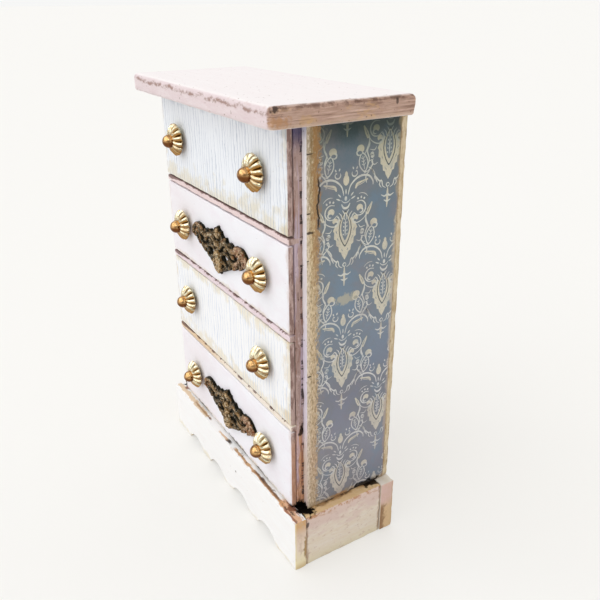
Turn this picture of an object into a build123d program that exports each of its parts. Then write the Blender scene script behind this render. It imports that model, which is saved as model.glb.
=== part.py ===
from build123d import *
import os
from math import cos, pi, sin, sqrt

# Miniature chest of four drawers, 1:12 scale, built from thin boards. Millimetres.
# +X is the chest's right seen from the front, -Y the front, +Z up. The floor is z = 0.

# ---- overall sizes ----------------------------------------------------------------
HEIGHT = 100.0             # floor to the top of the top board
CARCASE_W = 59.2           # across the drawer fronts and the inner carcase
BODY_D = 25.0              # drawer front plane to the back
KNOB_REACH = 4.4           # how far a knob stands out of the drawer front
PLINTH_REACH = 1.9         # how far the plinth stands out of the drawer front
TOP_REACH = 5.3            # how far the top board stands out of the drawer front
TOP_SIDE_REACH = 1.8       # top board beyond the side panels
PLINTH_SIDE_REACH = 2.6    # plinth beyond the side panels
PANEL_SETBACK = 2.8        # side panels' front edge behind the drawer front plane

# ---- board thicknesses ------------------------------------------------------------
TOP_T = 4.0
SIDE_T = 1.5               # inner carcase sides
PANEL_T = 1.6              # outer side panels
BACK_T = 1.4
SHELF_T = 1.3              # dividers, carcase bottom and sub top
FRONT_T = 1.2              # drawer fronts
BOX_T = 1.2                # drawer sides and backs
BOX_BOTTOM_T = 0.9
PAPER_T = 0.12
PLINTH_H = 13.5
PLINTH_FRONT_T = 3.0
PLINTH_SIDE_T = 3.0
PLINTH_BACK_T = 3.6
PLINTH_SIDE_INSET = 0.3    # plinth sides lie this far inside the ends of front and back

# ---- fits -------------------------------------------------------------------------
FRONT_GAP = 0.3            # reveal above and below each drawer front
FRONT_END_GAP = 0.15       # each end of a drawer front, inside the carcase face
CLOSE_GAP = 0.1            # drawer front to carcase edge when shut
BOX_SIDE_GAP = 0.2         # drawer box to carcase side, each side
BOX_UNDER_GAP = 0.15       # drawer box above its shelf
BOX_OVER_GAP = 0.7         # drawer sides below the shelf above
BOX_BACK_GAP = 0.55        # drawer back to carcase back when shut
HOUSING = 0.5              # depth of the grooves that hold the dividers
PIN_PLAY = 0.05            # knob pin in its hole, radially
PAPER_MARGIN = 0.1         # bare board left round the side paper

# ---- drawers and their fittings, lowest drawer first --------------------------------
DRAWER_SHARES = (20.9, 21.0, 19.9, 20.7)     # the drawers share the opening in these parts
KNOB_SHARES = (0.505, 0.545, 0.52, 0.51)     # how far up each drawer front its knobs are
FILIGREE_DROP = 1.0                          # filigree's middle below the knobs
KNOB_X = 19.0                                # knob to the middle of the drawer

# ---- derived planes ---------------------------------------------------------------
FRONT_Y = -(BODY_D + TOP_REACH) / 2 + TOP_REACH      # the top board sets the depth
BACK_Y = FRONT_Y + BODY_D
EDGE_Y = FRONT_Y + FRONT_T + CLOSE_GAP               # front edges of the carcase boards
BACK_IN_Y = BACK_Y - BACK_T
OUT_X = CARCASE_W / 2
IN_X = OUT_X - SIDE_T
PANEL_X = OUT_X + PANEL_T
TOP_UNDER_Z = HEIGHT - TOP_T
PLINTH_X = PANEL_X + PLINTH_SIDE_REACH
PLINTH_FRONT_Y = FRONT_Y - PLINTH_REACH
PLINTH_INNER_Y = PLINTH_FRONT_Y + PLINTH_FRONT_T
PLINTH_BACK_IN_Y = BACK_Y - PLINTH_BACK_T
SHARE = (TOP_UNDER_Z - PLINTH_H) / sum(DRAWER_SHARES)
DIVIDER_LEVELS = [PLINTH_H + SHARE * sum(DRAWER_SHARES[:count]) for count in (1, 2, 3)]

os.makedirs("parts", exist_ok=True)


def save(piece, label):
    """Name a finished piece and write it out."""
    piece.label = label
    export_step(piece, f"parts/{label}.step")
    return piece


def board(xs, ys, zs):
    """A square-cut board between two limits on each axis."""
    with BuildPart() as made:
        with BuildSketch(Plane.XY.offset(zs[0])):
            with Locations(((xs[0] + xs[1]) / 2, (ys[0] + ys[1]) / 2)):
                Rectangle(xs[1] - xs[0], ys[1] - ys[0])
        extrude(amount=zs[1] - zs[0])
    return made.part


def mirrored(sign, near, far):
    """Limits on X for a board on the left (sign -1) or the right (sign 1)."""
    return (sign * near, sign * far) if sign > 0 else (sign * far, sign * near)


# ---- top board: rounded front corners and a soft upper edge ------------------------
TOP_X = PANEL_X + TOP_SIDE_REACH
with BuildPart() as top_board:
    with BuildSketch(Plane.XY.offset(TOP_UNDER_Z)) as top_outline:
        with Locations((0, (FRONT_Y - TOP_REACH + BACK_Y) / 2)):
            Rectangle(2 * TOP_X, BODY_D + TOP_REACH)
        fillet(top_outline.vertices().group_by(Axis.Y)[0], 1.5)
    extrude(amount=TOP_T)
    fillet(top_board.faces().sort_by(Axis.Z)[-1].edges(), 1.1)
    fillet(top_board.faces().sort_by(Axis.Z)[0].edges(), 0.7)
save(top_board.part, "top_board")

# ---- carcase sides, grooved on the inside for the dividers -------------------------
for name, sign in (("left", -1), ("right", 1)):
    with BuildPart() as carcase_side:
        with BuildSketch(Plane.XY.offset(PLINTH_H)):
            with Locations((sign * (IN_X + OUT_X) / 2, (EDGE_Y + BACK_IN_Y) / 2)):
                Rectangle(SIDE_T, BACK_IN_Y - EDGE_Y)
        extrude(amount=TOP_UNDER_Z - PLINTH_H)
        for level in DIVIDER_LEVELS:
            with BuildSketch(Plane.XY.offset(level - SHELF_T / 2)):
                with Locations((sign * (IN_X + HOUSING / 2), (EDGE_Y + BACK_IN_Y) / 2)):
                    Rectangle(HOUSING, BACK_IN_Y - EDGE_Y)
            extrude(amount=SHELF_T, mode=Mode.SUBTRACT)
    save(carcase_side.part, f"carcase_side_{name}")

# ---- carcase bottom, sub top and back ----------------------------------------------
save(board((-IN_X, IN_X), (EDGE_Y, BACK_IN_Y), (PLINTH_H, PLINTH_H + SHELF_T)), "carcase_bottom")
save(board((-IN_X, IN_X), (EDGE_Y, BACK_IN_Y), (TOP_UNDER_Z - SHELF_T, TOP_UNDER_Z)), "sub_top")
save(board((-PANEL_X, PANEL_X), (BACK_IN_Y, BACK_Y), (PLINTH_H, TOP_UNDER_Z)), "carcase_back")

# ---- dividers: a full-width nose between the drawer fronts, a tongue in each groove -
for number, level in zip((3, 2, 1), DIVIDER_LEVELS):
    with BuildPart() as divider:
        with BuildSketch(Plane.XY.offset(level - SHELF_T / 2)):
            with Locations((0, (FRONT_Y + EDGE_Y) / 2)):
                Rectangle(CARCASE_W, EDGE_Y - FRONT_Y)
            with Locations((0, (EDGE_Y + BACK_IN_Y) / 2)):
                Rectangle(2 * (IN_X + HOUSING), BACK_IN_Y - EDGE_Y)
        extrude(amount=SHELF_T)
        fillet(divider.faces().sort_by(Axis.Y)[0].edges().filter_by(Axis.X), 0.25)
    save(divider.part, f"drawer_divider_{number}")

# ---- outer side panels and the printed paper glued to them -------------------------
PANEL_FRONT_Y = FRONT_Y + PANEL_SETBACK
for name, sign in (("left", -1), ("right", 1)):
    save(
        board(mirrored(sign, OUT_X, PANEL_X), (PANEL_FRONT_Y, BACK_IN_Y), (PLINTH_H, TOP_UNDER_Z)),
        f"side_panel_{name}",
    )
    save(
        board(
            mirrored(sign, PANEL_X, PANEL_X + PAPER_T),
            (PANEL_FRONT_Y + PAPER_MARGIN, BACK_IN_Y - PAPER_MARGIN),
            (PLINTH_H + PAPER_MARGIN, TOP_UNDER_Z - PAPER_MARGIN),
        ),
        f"side_paper_{name}",
    )

# ---- plinth front: four low arches leave five feet along its lower edge ------------
ARCHES = 4
ARCH_PITCH = 13.6
ARCH_W = 9.4
ARCH_H = 2.5
ARCH_R = (ARCH_W**2 / 4 + ARCH_H**2) / (2 * ARCH_H)
with BuildPart() as plinth_front:
    with BuildSketch(Plane.XZ.offset(-PLINTH_INNER_Y)):
        Rectangle(2 * PLINTH_X, PLINTH_H, align=(Align.CENTER, Align.MIN))
        with Locations((0, ARCH_H - ARCH_R)):
            with GridLocations(ARCH_PITCH, 1, ARCHES, 1):
                Circle(ARCH_R, mode=Mode.SUBTRACT)
    extrude(amount=PLINTH_FRONT_T)
    fillet(plinth_front.edges().group_by(Axis.Z)[-1], 0.35)
save(plinth_front.part, "plinth_front")

# ---- the rest of the plinth frame and the glue blocks in its corners ---------------
PLINTH_SIDE_OUT = PLINTH_X - PLINTH_SIDE_INSET
PLINTH_SIDE_IN = PLINTH_SIDE_OUT - PLINTH_SIDE_T
with BuildPart() as plinth_back:
    with BuildSketch(Plane.XY):
        with Locations((0, (PLINTH_BACK_IN_Y + BACK_Y) / 2)):
            Rectangle(2 * PLINTH_X, PLINTH_BACK_T)
    extrude(amount=PLINTH_H)
    fillet(plinth_back.edges().group_by(Axis.Z)[-1], 0.35)
save(plinth_back.part, "plinth_back")

for name, sign in (("left", -1), ("right", 1)):
    save(
        board(
            mirrored(sign, PLINTH_SIDE_IN, PLINTH_SIDE_OUT),
            (PLINTH_INNER_Y, PLINTH_BACK_IN_Y),
            (0, PLINTH_H),
        ),
        f"plinth_side_{name}",
    )

BLOCK = 5.5
BLOCK_RAISE = 0.5          # the blocks stop short of the floor
block_span_x = 2 * PLINTH_SIDE_IN - BLOCK
block_span_y = PLINTH_BACK_IN_Y - PLINTH_INNER_Y - BLOCK
with BuildPart() as plinth_corner_blocks:
    with BuildSketch(Plane.XY.offset(BLOCK_RAISE)):
        with Locations((0, (PLINTH_INNER_Y + PLINTH_BACK_IN_Y) / 2)):
            with GridLocations(block_span_x, block_span_y, 2, 2):
                Rectangle(BLOCK, BLOCK)
    extrude(amount=PLINTH_H - BLOCK_RAISE)
save(plinth_corner_blocks.part, "plinth_corner_blocks")

# ---- knob: a fluted bead cap held by a ball-headed pin -----------------------------
CAP_R = 3.75               # at the widest ring
CAP_R_RISE = 1.35          # drawer front to the widest ring
CAP_FOOT_R = 1.7           # the petals curl in to this ring on the drawer front
CAP_RISE = 2.7             # drawer front to crown
CAP_SHOULDER_R = 3.15      # half way from the widest ring to the crown
CAP_CROWN_R = 1.9
CAP_WALL = 0.35
CAP_FLUTES = 14
BALL_R = 1.5
BALL_SEAT_GAP = 0.03       # ball clear of the crown's eye, radially
SHANK_R = 0.45
CLENCH_R = 1.0             # the pin's end, flattened behind the drawer front
CLENCH_T = 0.3
BALL_Y = KNOB_REACH - BALL_R
# the ball rests in the eye, which is as wide as the ball is at the crown's height
CAP_HOLE_R = sqrt(BALL_R**2 - (BALL_Y - CAP_RISE) ** 2) + BALL_SEAT_GAP


def lobed(radius, depth):
    """Points round a ring that swells and dips once for every flute."""
    count = 2 * CAP_FLUTES
    rings = [radius if step % 2 == 0 else radius - depth for step in range(count)]
    turns = [2 * pi * step / count for step in range(count)]
    return [(ring * cos(turn), ring * sin(turn)) for ring, turn in zip(rings, turns)]


def fluted_solid(shrink, drop):
    """The cap's outside, or its hollow when made smaller and set back."""
    rings = (
        (0.0, CAP_FOOT_R - shrink, 0.08),
        (CAP_R_RISE - drop * 0.3, CAP_R - shrink, 0.42),
        ((CAP_R_RISE + CAP_RISE) / 2 - drop * 0.7, CAP_SHOULDER_R - shrink, 0.34),
        (CAP_RISE - drop, CAP_CROWN_R - shrink * 0.4, 0.06),
    )
    with BuildPart() as made:
        for rise, radius, depth in rings:
            with BuildSketch(Plane.XY.offset(rise)):
                with BuildLine():
                    Spline(*lobed(radius, depth), periodic=True)
                make_face()
        loft()
    return made.part


with BuildPart() as cap_pattern:
    add(fluted_solid(0.0, 0.0))
    add(fluted_solid(CAP_WALL, CAP_WALL), mode=Mode.SUBTRACT)
    with BuildSketch(Plane.XY):
        Circle(CAP_HOLE_R)
    extrude(amount=CAP_RISE + 1, mode=Mode.SUBTRACT)

with BuildPart() as pin_pattern:
    with BuildSketch(Plane.XY.offset(-FRONT_T - CLENCH_T)):
        Circle(CLENCH_R)
    extrude(amount=CLENCH_T)
    with BuildSketch(Plane.XY.offset(-FRONT_T)):
        Circle(SHANK_R)
    extrude(amount=FRONT_T + BALL_Y)
    with Locations((0, 0, BALL_Y)):
        Sphere(BALL_R)

# ---- filigree: a pierced and raised stamping, wings either side of a domed leaf ----
FIL_SPAN = 28.0            # wing tip to wing tip
FIL_T = 0.7
FIL_RIB = 0.45             # scrolls above the plate
FIL_LEAF = 1.3             # domed leaf above the plate
FIL_CREST = 0.5            # crest above the plate
FIL_ROUND = 0.3
# points and radii of the stamping, drawn 28 units from tip to tip
FIL_UNIT = FIL_SPAN / 28
FIL_OUTLINE = (
    (0.0, 5.9), (1.5, 5.3), (2.4, 4.0), (3.9, 4.2), (5.2, 2.9), (6.6, 3.5), (8.1, 3.4),
    (9.7, 4.1), (11.4, 3.8), (12.4, 2.7), (13.8, 2.2), (14.0, 0.9), (12.9, 0.0),
    (11.6, -0.2), (10.9, -1.6), (9.1, -1.4), (7.9, -2.7), (6.2, -2.6), (5.2, -3.8),
    (3.6, -3.7), (2.3, -4.9), (1.1, -4.7), (0.0, -5.6),
)
FIL_HOLES = (
    (1.9, 2.4, 0.5), (3.5, 1.0, 0.6), (5.6, 1.2, 0.55), (7.4, 0.6, 0.5), (4.6, -1.5, 0.6),
    (2.6, -2.6, 0.45), (6.9, -1.1, 0.45), (11.6, 1.7, 0.5), (9.3, -0.1, 0.4),
)
FIL_SCROLLS = ((9.7, 1.9, 1.6), (4.6, 2.4, 1.1), (12.3, 1.2, 0.9), (6.3, -0.3, 1.0))


FIL_LEAF_SIDE = ((0.0, -5.0), (1.7, -2.6), (0.0, 0.6))
FIL_CREST_AT = (0.0, 3.6)
FIL_CREST_RADII = (1.0, 1.5)
FIL_RING = 0.5             # width of a scroll's ring


def units(values):
    """Distances drawn in the stamping's units, in millimetres."""
    return tuple(FIL_UNIT * value for value in values)


def both_sides(points):
    """Points on the right, then the same points on the left."""
    right = [units(point) for point in points]
    return right + [(-point[0],) + point[1:] for point in right]


with BuildPart() as filigree_pattern:
    with BuildSketch(Plane.XY) as plate:
        with BuildLine():
            half_outline = Polyline(*[units(point) for point in FIL_OUTLINE])
            mirror(half_outline, about=Plane.YZ)
        make_face()
        fillet([v for v in plate.vertices() if abs(v.X) > 0.1], FIL_ROUND)
        for x, y, r in both_sides(FIL_HOLES):
            with Locations((x, y)):
                Circle(r, mode=Mode.SUBTRACT)
    extrude(amount=FIL_T)
    for x, y, r in both_sides(FIL_SCROLLS):
        with BuildSketch(Plane.XY.offset(FIL_T)):
            with Locations((x, y)):
                Circle(r)
                Circle(r - FIL_UNIT * FIL_RING, mode=Mode.SUBTRACT)
        extrude(amount=FIL_RIB)
    with BuildSketch(Plane.XY.offset(FIL_T)):
        with BuildLine():
            leaf = [units(point) for point in FIL_LEAF_SIDE]
            leaf_side = Spline(*leaf, tangents=((0.9, 0.6), (-0.6, 1.0)))
            mirror(leaf_side, about=Plane.YZ)
        make_face()
    extrude(amount=FIL_LEAF, taper=28)
    with BuildSketch(Plane.XY.offset(FIL_T)):
        with Locations(units(FIL_CREST_AT)):
            Ellipse(*units(FIL_CREST_RADII))
    extrude(amount=FIL_CREST, taper=20)


# ---- drawers, numbered from the top ------------------------------------------------
floors = [PLINTH_H] + [level + SHELF_T / 2 for level in DIVIDER_LEVELS]
ceilings = [level - SHELF_T / 2 for level in DIVIDER_LEVELS] + [TOP_UNDER_Z]
BOX_X = IN_X - BOX_SIDE_GAP
BOX_FRONT_Y = FRONT_Y + FRONT_T
BOX_BACK_Y = BACK_IN_Y - BOX_BACK_GAP
PIN_HOLE_R = SHANK_R + PIN_PLAY

for index, number in enumerate((4, 3, 2, 1)):
    tag = f"drawer_{number}"
    front_low = floors[index] + FRONT_GAP
    front_high = ceilings[index] - FRONT_GAP
    # the lowest drawer runs on the carcase bottom, the highest under the sub top
    shelf = floors[index] + (SHELF_T if index == 0 else 0)
    roof = ceilings[index] - (SHELF_T if index == 3 else 0)
    box_low = shelf + BOX_UNDER_GAP
    wall_low = box_low + BOX_BOTTOM_T
    wall_high = roof - BOX_OVER_GAP
    front_half = OUT_X - FRONT_END_GAP
    knob_level = front_low + KNOB_SHARES[index] * (front_high - front_low)

    with BuildPart() as drawer_front:
        with BuildSketch(Plane.XZ.offset(-BOX_FRONT_Y)):
            with Locations((0, (front_low + front_high) / 2)):
                Rectangle(2 * front_half, front_high - front_low)
            with Locations((0, knob_level)):
                with GridLocations(2 * KNOB_X, 1, 2, 1):
                    Circle(PIN_HOLE_R, mode=Mode.SUBTRACT)
        extrude(amount=FRONT_T)
        fillet(drawer_front.faces().sort_by(Axis.Y)[0].edges().filter_by(GeomType.LINE), 0.3)
    save(drawer_front.part, f"{tag}_front")

    for name, sign in (("left", -1), ("right", 1)):
        save(
            board(
                mirrored(sign, BOX_X - BOX_T, BOX_X),
                (BOX_FRONT_Y, BOX_BACK_Y),
                (wall_low, wall_high),
            ),
            f"{tag}_side_{name}",
        )
    save(
        board((BOX_T - BOX_X, BOX_X - BOX_T), (BOX_BACK_Y - BOX_T, BOX_BACK_Y), (wall_low, wall_high)),
        f"{tag}_back",
    )
    save(board((-BOX_X, BOX_X), (BOX_FRONT_Y, BOX_BACK_Y), (box_low, wall_low)), f"{tag}_bottom")

    # two knobs, each a cap and a pin, stand on the front with their axes along -Y
    face = Plane(origin=(0, FRONT_Y, knob_level), x_dir=(1, 0, 0), z_dir=(0, -1, 0))
    with BuildPart() as knob_caps:
        with Locations(face):
            with Locations((-KNOB_X, 0, 0), (KNOB_X, 0, 0)):
                add(cap_pattern.part)
    save(knob_caps.part, f"{tag}_knob_caps")
    with BuildPart() as knob_pins:
        with Locations(face):
            with Locations((-KNOB_X, 0, 0), (KNOB_X, 0, 0)):
                add(pin_pattern.part)
    save(knob_pins.part, f"{tag}_knob_pins")

    # the second and fourth drawers carry a filigree between the knobs
    if number in (2, 4):
        with BuildPart() as filigree:
            with Locations(face):
                with Locations((0, -FILIGREE_DROP, 0)):
                    add(filigree_pattern.part)
        save(filigree.part, f"{tag}_filigree")
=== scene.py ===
"""Miniature chest of four drawers: worn painted boards, printed papers, gilt knobs, filigrees."""

import math

import bmesh
import bpy
import numpy as np
from mathutils import Matrix, Vector
from mathutils import noise as field


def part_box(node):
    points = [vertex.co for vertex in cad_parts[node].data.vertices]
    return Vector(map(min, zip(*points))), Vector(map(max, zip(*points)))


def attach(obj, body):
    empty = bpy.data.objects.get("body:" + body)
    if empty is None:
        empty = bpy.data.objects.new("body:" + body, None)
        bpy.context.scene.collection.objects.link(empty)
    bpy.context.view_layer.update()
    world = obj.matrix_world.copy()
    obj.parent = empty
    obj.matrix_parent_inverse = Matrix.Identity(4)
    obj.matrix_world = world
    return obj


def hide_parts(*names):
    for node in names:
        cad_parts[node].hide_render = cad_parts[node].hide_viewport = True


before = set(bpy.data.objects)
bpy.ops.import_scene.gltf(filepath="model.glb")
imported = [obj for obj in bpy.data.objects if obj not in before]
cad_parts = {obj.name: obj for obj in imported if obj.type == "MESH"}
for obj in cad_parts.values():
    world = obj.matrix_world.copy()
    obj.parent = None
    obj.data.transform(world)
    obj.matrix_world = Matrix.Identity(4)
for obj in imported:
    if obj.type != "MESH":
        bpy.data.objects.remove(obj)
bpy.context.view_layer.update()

# ---- carcase bottom and sub top ------------------------------------------------------
# Two thin boards of pale bare wood, sanded but never painted. They are glued between the
# carcase sides, one on top of the plinth and one under the top board.
METRES = 0.001             # meshes and patterns are worked out in millimetres


def put(tree, kind, inputs=None, **settings):
    """Add a shader node. An input may be given a value or another node's socket."""
    made = tree.nodes.new("ShaderNode" + kind)
    for key, value in settings.items():
        setattr(made, key, value)
    for key, value in (inputs or {}).items():
        if isinstance(value, bpy.types.NodeSocket):
            tree.links.new(value, made.inputs[key])
        else:
            made.inputs[key].default_value = value
    return made


def calc(operation, a, b=0.0, clamp=False):
    """One arithmetic step, in the node tree that a or b comes from."""
    tree = (a if isinstance(a, bpy.types.NodeSocket) else b).id_data
    return put(tree, "Math", {0: a, 1: b}, operation=operation, use_clamp=clamp).outputs[0]


def fade(value, off, full, low=0.0, high=1.0):
    """A smooth step that is low at the value off and high at the value full."""
    inputs = {"Value": value, "From Min": off, "From Max": full, "To Min": low, "To Max": high}
    return put(value.id_data, "MapRange", inputs, interpolation_type="SMOOTHSTEP").outputs[0]


def stretch(vector, factors):
    """A position scaled along each axis, which draws a pattern out the other way."""
    return put(vector.id_data, "VectorMath", {0: vector, 1: factors}, operation="MULTIPLY").outputs[0]


def cloud(vector, scale, detail=3.0, roughness=0.55):
    """Soft random variation about one half."""
    inputs = {"Vector": vector, "Scale": scale, "Detail": detail, "Roughness": roughness}
    return put(vector.id_data, "TexNoise", inputs).outputs["Fac"]


def axes(vector):
    """The three parts of a vector."""
    return put(vector.id_data, "SeparateXYZ", {0: vector}).outputs[:]


def tint(factor, under, over, mode="MIX"):
    """One colour with another laid over it."""
    inputs = {0: factor, 6: under, 7: over}
    return put(factor.id_data, "Mix", inputs, data_type="RGBA", blend_type=mode).outputs[2]


def new_group(name, inputs, outputs):
    """An empty node group with named inputs, each (kind, default), and named outputs."""
    tree = bpy.data.node_groups.new(name, "ShaderNodeTree")
    for label, (kind, default) in inputs.items():
        made = tree.interface.new_socket(label, in_out="INPUT", socket_type="NodeSocket" + kind)
        made.default_value = default
    for label, kind in outputs.items():
        tree.interface.new_socket(label, in_out="OUTPUT", socket_type="NodeSocket" + kind)
    source = tree.nodes.new("NodeGroupInput")
    sink = tree.nodes.new("NodeGroupOutput")
    return tree, source.outputs, sink.inputs


def use(group, **inputs):
    """Add a node group beside the nodes that feed it, and return its first output."""
    tree = next(value.id_data for value in inputs.values() if isinstance(value, bpy.types.NodeSocket))
    return put(tree, "Group", inputs, node_tree=group).outputs[0]


VECTOR_IN = ("Vector", (0.0, 0.0, 0.0))

# Wood fibres and year rings. Position is already drawn out along the grain.
grained, take, give = new_group("grained", {"Position": VECTOR_IN}, {"Value": "Float"})
rings = put(
    grained,
    "TexWave",
    {"Vector": take["Position"], "Scale": 0.03, "Distortion": 6.0, "Detail": 3.0, "Detail Scale": 1.5},
    wave_type="BANDS",
    bands_direction="DIAGONAL",
)
fibres = cloud(take["Position"], 2.2, 5, 0.7)
grain_mix = calc("ADD", calc("MULTIPLY", rings.outputs["Fac"], 0.14), calc("MULTIPLY", fibres, 0.86))
grained.links.new(fade(grain_mix, 0.3, 0.72), give["Value"])


def linear(value):
    """One sRGB part, 0 to 255, as linear light."""
    value /= 255
    return value / 12.92 if value <= 0.04045 else ((value + 0.055) / 1.055) ** 2.4


def colour(red, green, blue, light=1.0):
    """A finish's own colour, from how it looks in light of that strength."""
    return tuple(min(linear(value) / light, 0.93) for value in (red, green, blue)) + (1.0,)


class Finish:
    """A material being built up in layers, from its base colour outwards."""

    def __init__(self, name, base, roughness=0.6, metallic=0.0):
        self.material = bpy.data.materials.new(name)
        self.material.use_nodes = True
        self.tree = self.material.node_tree
        self.shader = self.tree.nodes["Principled BSDF"]
        self.shader.inputs["Roughness"].default_value = roughness
        self.shader.inputs["Metallic"].default_value = metallic
        place = put(self.tree, "TexCoord").outputs
        to_millimetres = {0: place["Object"], "Scale": 1 / METRES}
        self.mm = put(self.tree, "VectorMath", to_millimetres, operation="SCALE").outputs[0]
        self.x, self.y, self.z = axes(self.mm)
        # gap: distance to each of the board's six faces, as its mesh has stored them
        self.near = put(self.tree, "Attribute", attribute_name="near").outputs["Vector"]
        self.far = put(self.tree, "Attribute", attribute_name="far").outputs["Vector"]
        self.gap = dict(zip(("left", "front", "bottom"), axes(self.near)))
        self.gap.update(zip(("right", "back", "top"), axes(self.far)))
        turn = put(self.tree, "VectorMath", {0: place["Normal"]}, operation="ABSOLUTE").outputs[0]
        self.facing_x, self.facing_y, self.facing_z = axes(turn)
        self.base = base
        self.height = None
        self.sheen = None

    def lay(self, mask, shade, strength=1.0, mode="MIX"):
        """Lay a colour over what is there, where the mask is."""
        self.base = tint(calc("MULTIPLY", mask, strength, clamp=True), self.base, shade, mode)

    def raise_by(self, value, amount):
        """Add to the relief, in millimetres."""
        part = calc("MULTIPLY", value, amount)
        self.height = part if self.height is None else calc("ADD", self.height, part)

    def done(self, relief=0.6):
        """Join the colour and the relief to the shader."""
        self.tree.links.new(self.base, self.shader.inputs["Base Color"])
        if self.sheen is not None:
            self.tree.links.new(self.sheen, self.shader.inputs["Specular IOR Level"])
        if self.height is not None:
            metres = calc("MULTIPLY", self.height, METRES)
            bump = put(self.tree, "Bump", {"Strength": relief, "Distance": 1.0, "Height": metres})
            self.tree.links.new(bump.outputs["Normal"], self.shader.inputs["Normal"])
        return self.material


def bare_wood(name, along, light, dark):
    """Bare wood whose grain runs along the axis with the smallest factor."""
    finish = Finish(name, light, 0.7)
    fibre = use(grained, Position=stretch(finish.mm, along))
    finish.lay(fibre, dark, 0.75)
    pores = cloud(stretch(finish.mm, tuple(3 * factor for factor in along)), 2.0, 3, 0.7)
    finish.lay(fade(pores, 0.56, 0.66), colour(150, 112, 74), 0.45)
    finish.raise_by(fibre, 0.03)
    return finish


def show_in(material, names):
    """Give the frame's own boards their wood."""
    for name in names:
        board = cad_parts[name].data
        board.materials.clear()
        board.materials.append(material)


wood_across = bare_wood(
    "bare_wood_across", (0.1, 1.0, 1.0), colour(222, 196, 160), colour(192, 156, 114)
).done(0.5)
show_in(wood_across, ("carcase_bottom", "sub_top"))

# ---- carcase sides -------------------------------------------------------------------
# Two upright boards painted mauve, with grooves inside for the dividers. Their front edges
# show as a dusky strip beside the drawer fronts, blue-black with painted shade under the top board.
SIDE_LIGHT = 0.84          # strength of the light on the faces that look sideways
MAUVE = colour(176, 151, 143, SIDE_LIGHT)
MAUVE_PALE = colour(202, 184, 182, SIDE_LIGHT)
# near black, for black dirt and for painted shade in the pocket at each front corner over the plinth
BLACK_STAIN_AND_SHADE = colour(12, 8, 6)


def to_mm(corner):
    """A corner from the frame, in millimetres."""
    return Vector(corner) / METRES


def box_mesh(low, high):
    """A closed box between two corners."""
    mesh = bmesh.new()
    bmesh.ops.create_cube(mesh, size=1.0)
    for vertex in mesh.verts:
        for axis in range(3):
            vertex.co[axis] = low[axis] if vertex.co[axis] < 0 else high[axis]
    return mesh


def round_edges(mesh, chosen, radius, segments=3):
    """Round the edges that the test picks."""
    edges = [edge for edge in mesh.edges if chosen(edge)]
    bmesh.ops.bevel(
        mesh,
        geom=edges,
        offset=radius,
        segments=segments,
        profile=0.5,
        affect="EDGES",
        clamp_overlap=True,
        material=-1,
    )


def slice_up(mesh, low, high, pitch):
    """Cut the faces into cells about pitch apart, so that they can be worn unevenly."""
    for axis in range(3):
        count = int((high[axis] - low[axis]) / pitch)
        normal = Vector([1.0 if axis == other else 0.0 for other in range(3)])
        for step in range(1, count):
            at = low.lerp(high, step / count)
            geometry = mesh.verts[:] + mesh.edges[:] + mesh.faces[:]
            bmesh.ops.bisect_plane(mesh, geom=geometry, dist=1e-5, plane_co=at, plane_no=normal)


def weather(mesh, low, high, chip, wander, seed):
    """Nibble the edges and stir the faces, always inwards, from the board's own limits."""
    zone = 0.7
    shift = Vector((seed * 7.3, seed * 3.1, seed * 5.7))
    for vertex in mesh.verts:
        point = vertex.co.copy()
        gaps = [min(point[axis] - low[axis], high[axis] - point[axis]) for axis in range(3)]
        edge = max(0.0, 1.0 - sorted(gaps)[1] / zone)
        slow = 0.5 + 0.5 * field.noise(point * 0.16 + shift)
        bite = max(0.0, field.noise(point * 0.75 + shift) + 0.15)
        nick = max(0.0, field.noise(point * 0.3 - shift) - 0.28) * 2.2
        depth = wander * slow + chip * edge * (bite + nick)
        for axis in range(3):
            if gaps[axis] < zone:
                inward = 1.0 if point[axis] < (low[axis] + high[axis]) / 2 else -1.0
                vertex.co[axis] += inward * depth * (1.0 - gaps[axis] / zone)


def note_gaps(mesh, low, high):
    """Store each point's distance to the board's six limits, for the shaders."""
    near = mesh.verts.layers.float_vector.new("near")
    far = mesh.verts.layers.float_vector.new("far")
    for vertex in mesh.verts:
        vertex[near] = vertex.co - low
        vertex[far] = high - vertex.co


def make_piece(name, mesh, materials, body, replaced, sharp=40):
    """Turn a mesh in millimetres into a named piece that rides on a body."""
    for face in mesh.faces:
        face.smooth = True
    for edge in mesh.edges:
        edge.smooth = edge.calc_face_angle(0.0) < math.radians(sharp)
    bmesh.ops.scale(mesh, vec=(METRES, METRES, METRES), verts=mesh.verts[:])
    data = bpy.data.meshes.new(name)
    mesh.to_mesh(data)
    mesh.free()
    for material in materials:
        data.materials.append(material)
    piece = bpy.data.objects.new(name, data)
    bpy.context.collection.objects.link(piece)
    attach(piece, body)
    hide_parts(*replaced)
    return piece


def even_normals(piece):
    """Let the large faces decide the shading, so that flat boards look flat."""
    modifier = piece.modifiers.new("even normals", "WEIGHTED_NORMAL")
    modifier.keep_sharp = True
    modifier.weight = 80


def worn_board(node, material, body, seed, radius=0.22, chip=0.2, wander=0.05, pitch=1.0):
    """A board in the place of the frame's plain one, with softened, nibbled edges."""
    low, high = (to_mm(corner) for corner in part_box(node))
    mesh = box_mesh(low, high)
    round_edges(mesh, lambda edge: True, radius)
    slice_up(mesh, low, high, pitch)
    weather(mesh, low, high, chip, wander, seed)
    note_gaps(mesh, low, high)
    even_normals(make_piece(f"worn_{node}", mesh, [material], body, [node]))


# Brush marks: fine streaks over broad ones. Position is already drawn out along the strokes.
brushed, take, give = new_group("brushed", {"Position": VECTOR_IN}, {"Value": "Float"})
broad = cloud(take["Position"], 0.6, 4, 0.6)
hair = cloud(take["Position"], 2.6, 4, 0.7)
both = calc("ADD", calc("MULTIPLY", broad, 0.5), calc("MULTIPLY", hair, 0.5))
brushed.links.new(fade(both, 0.3, 0.7), give["Value"])


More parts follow.
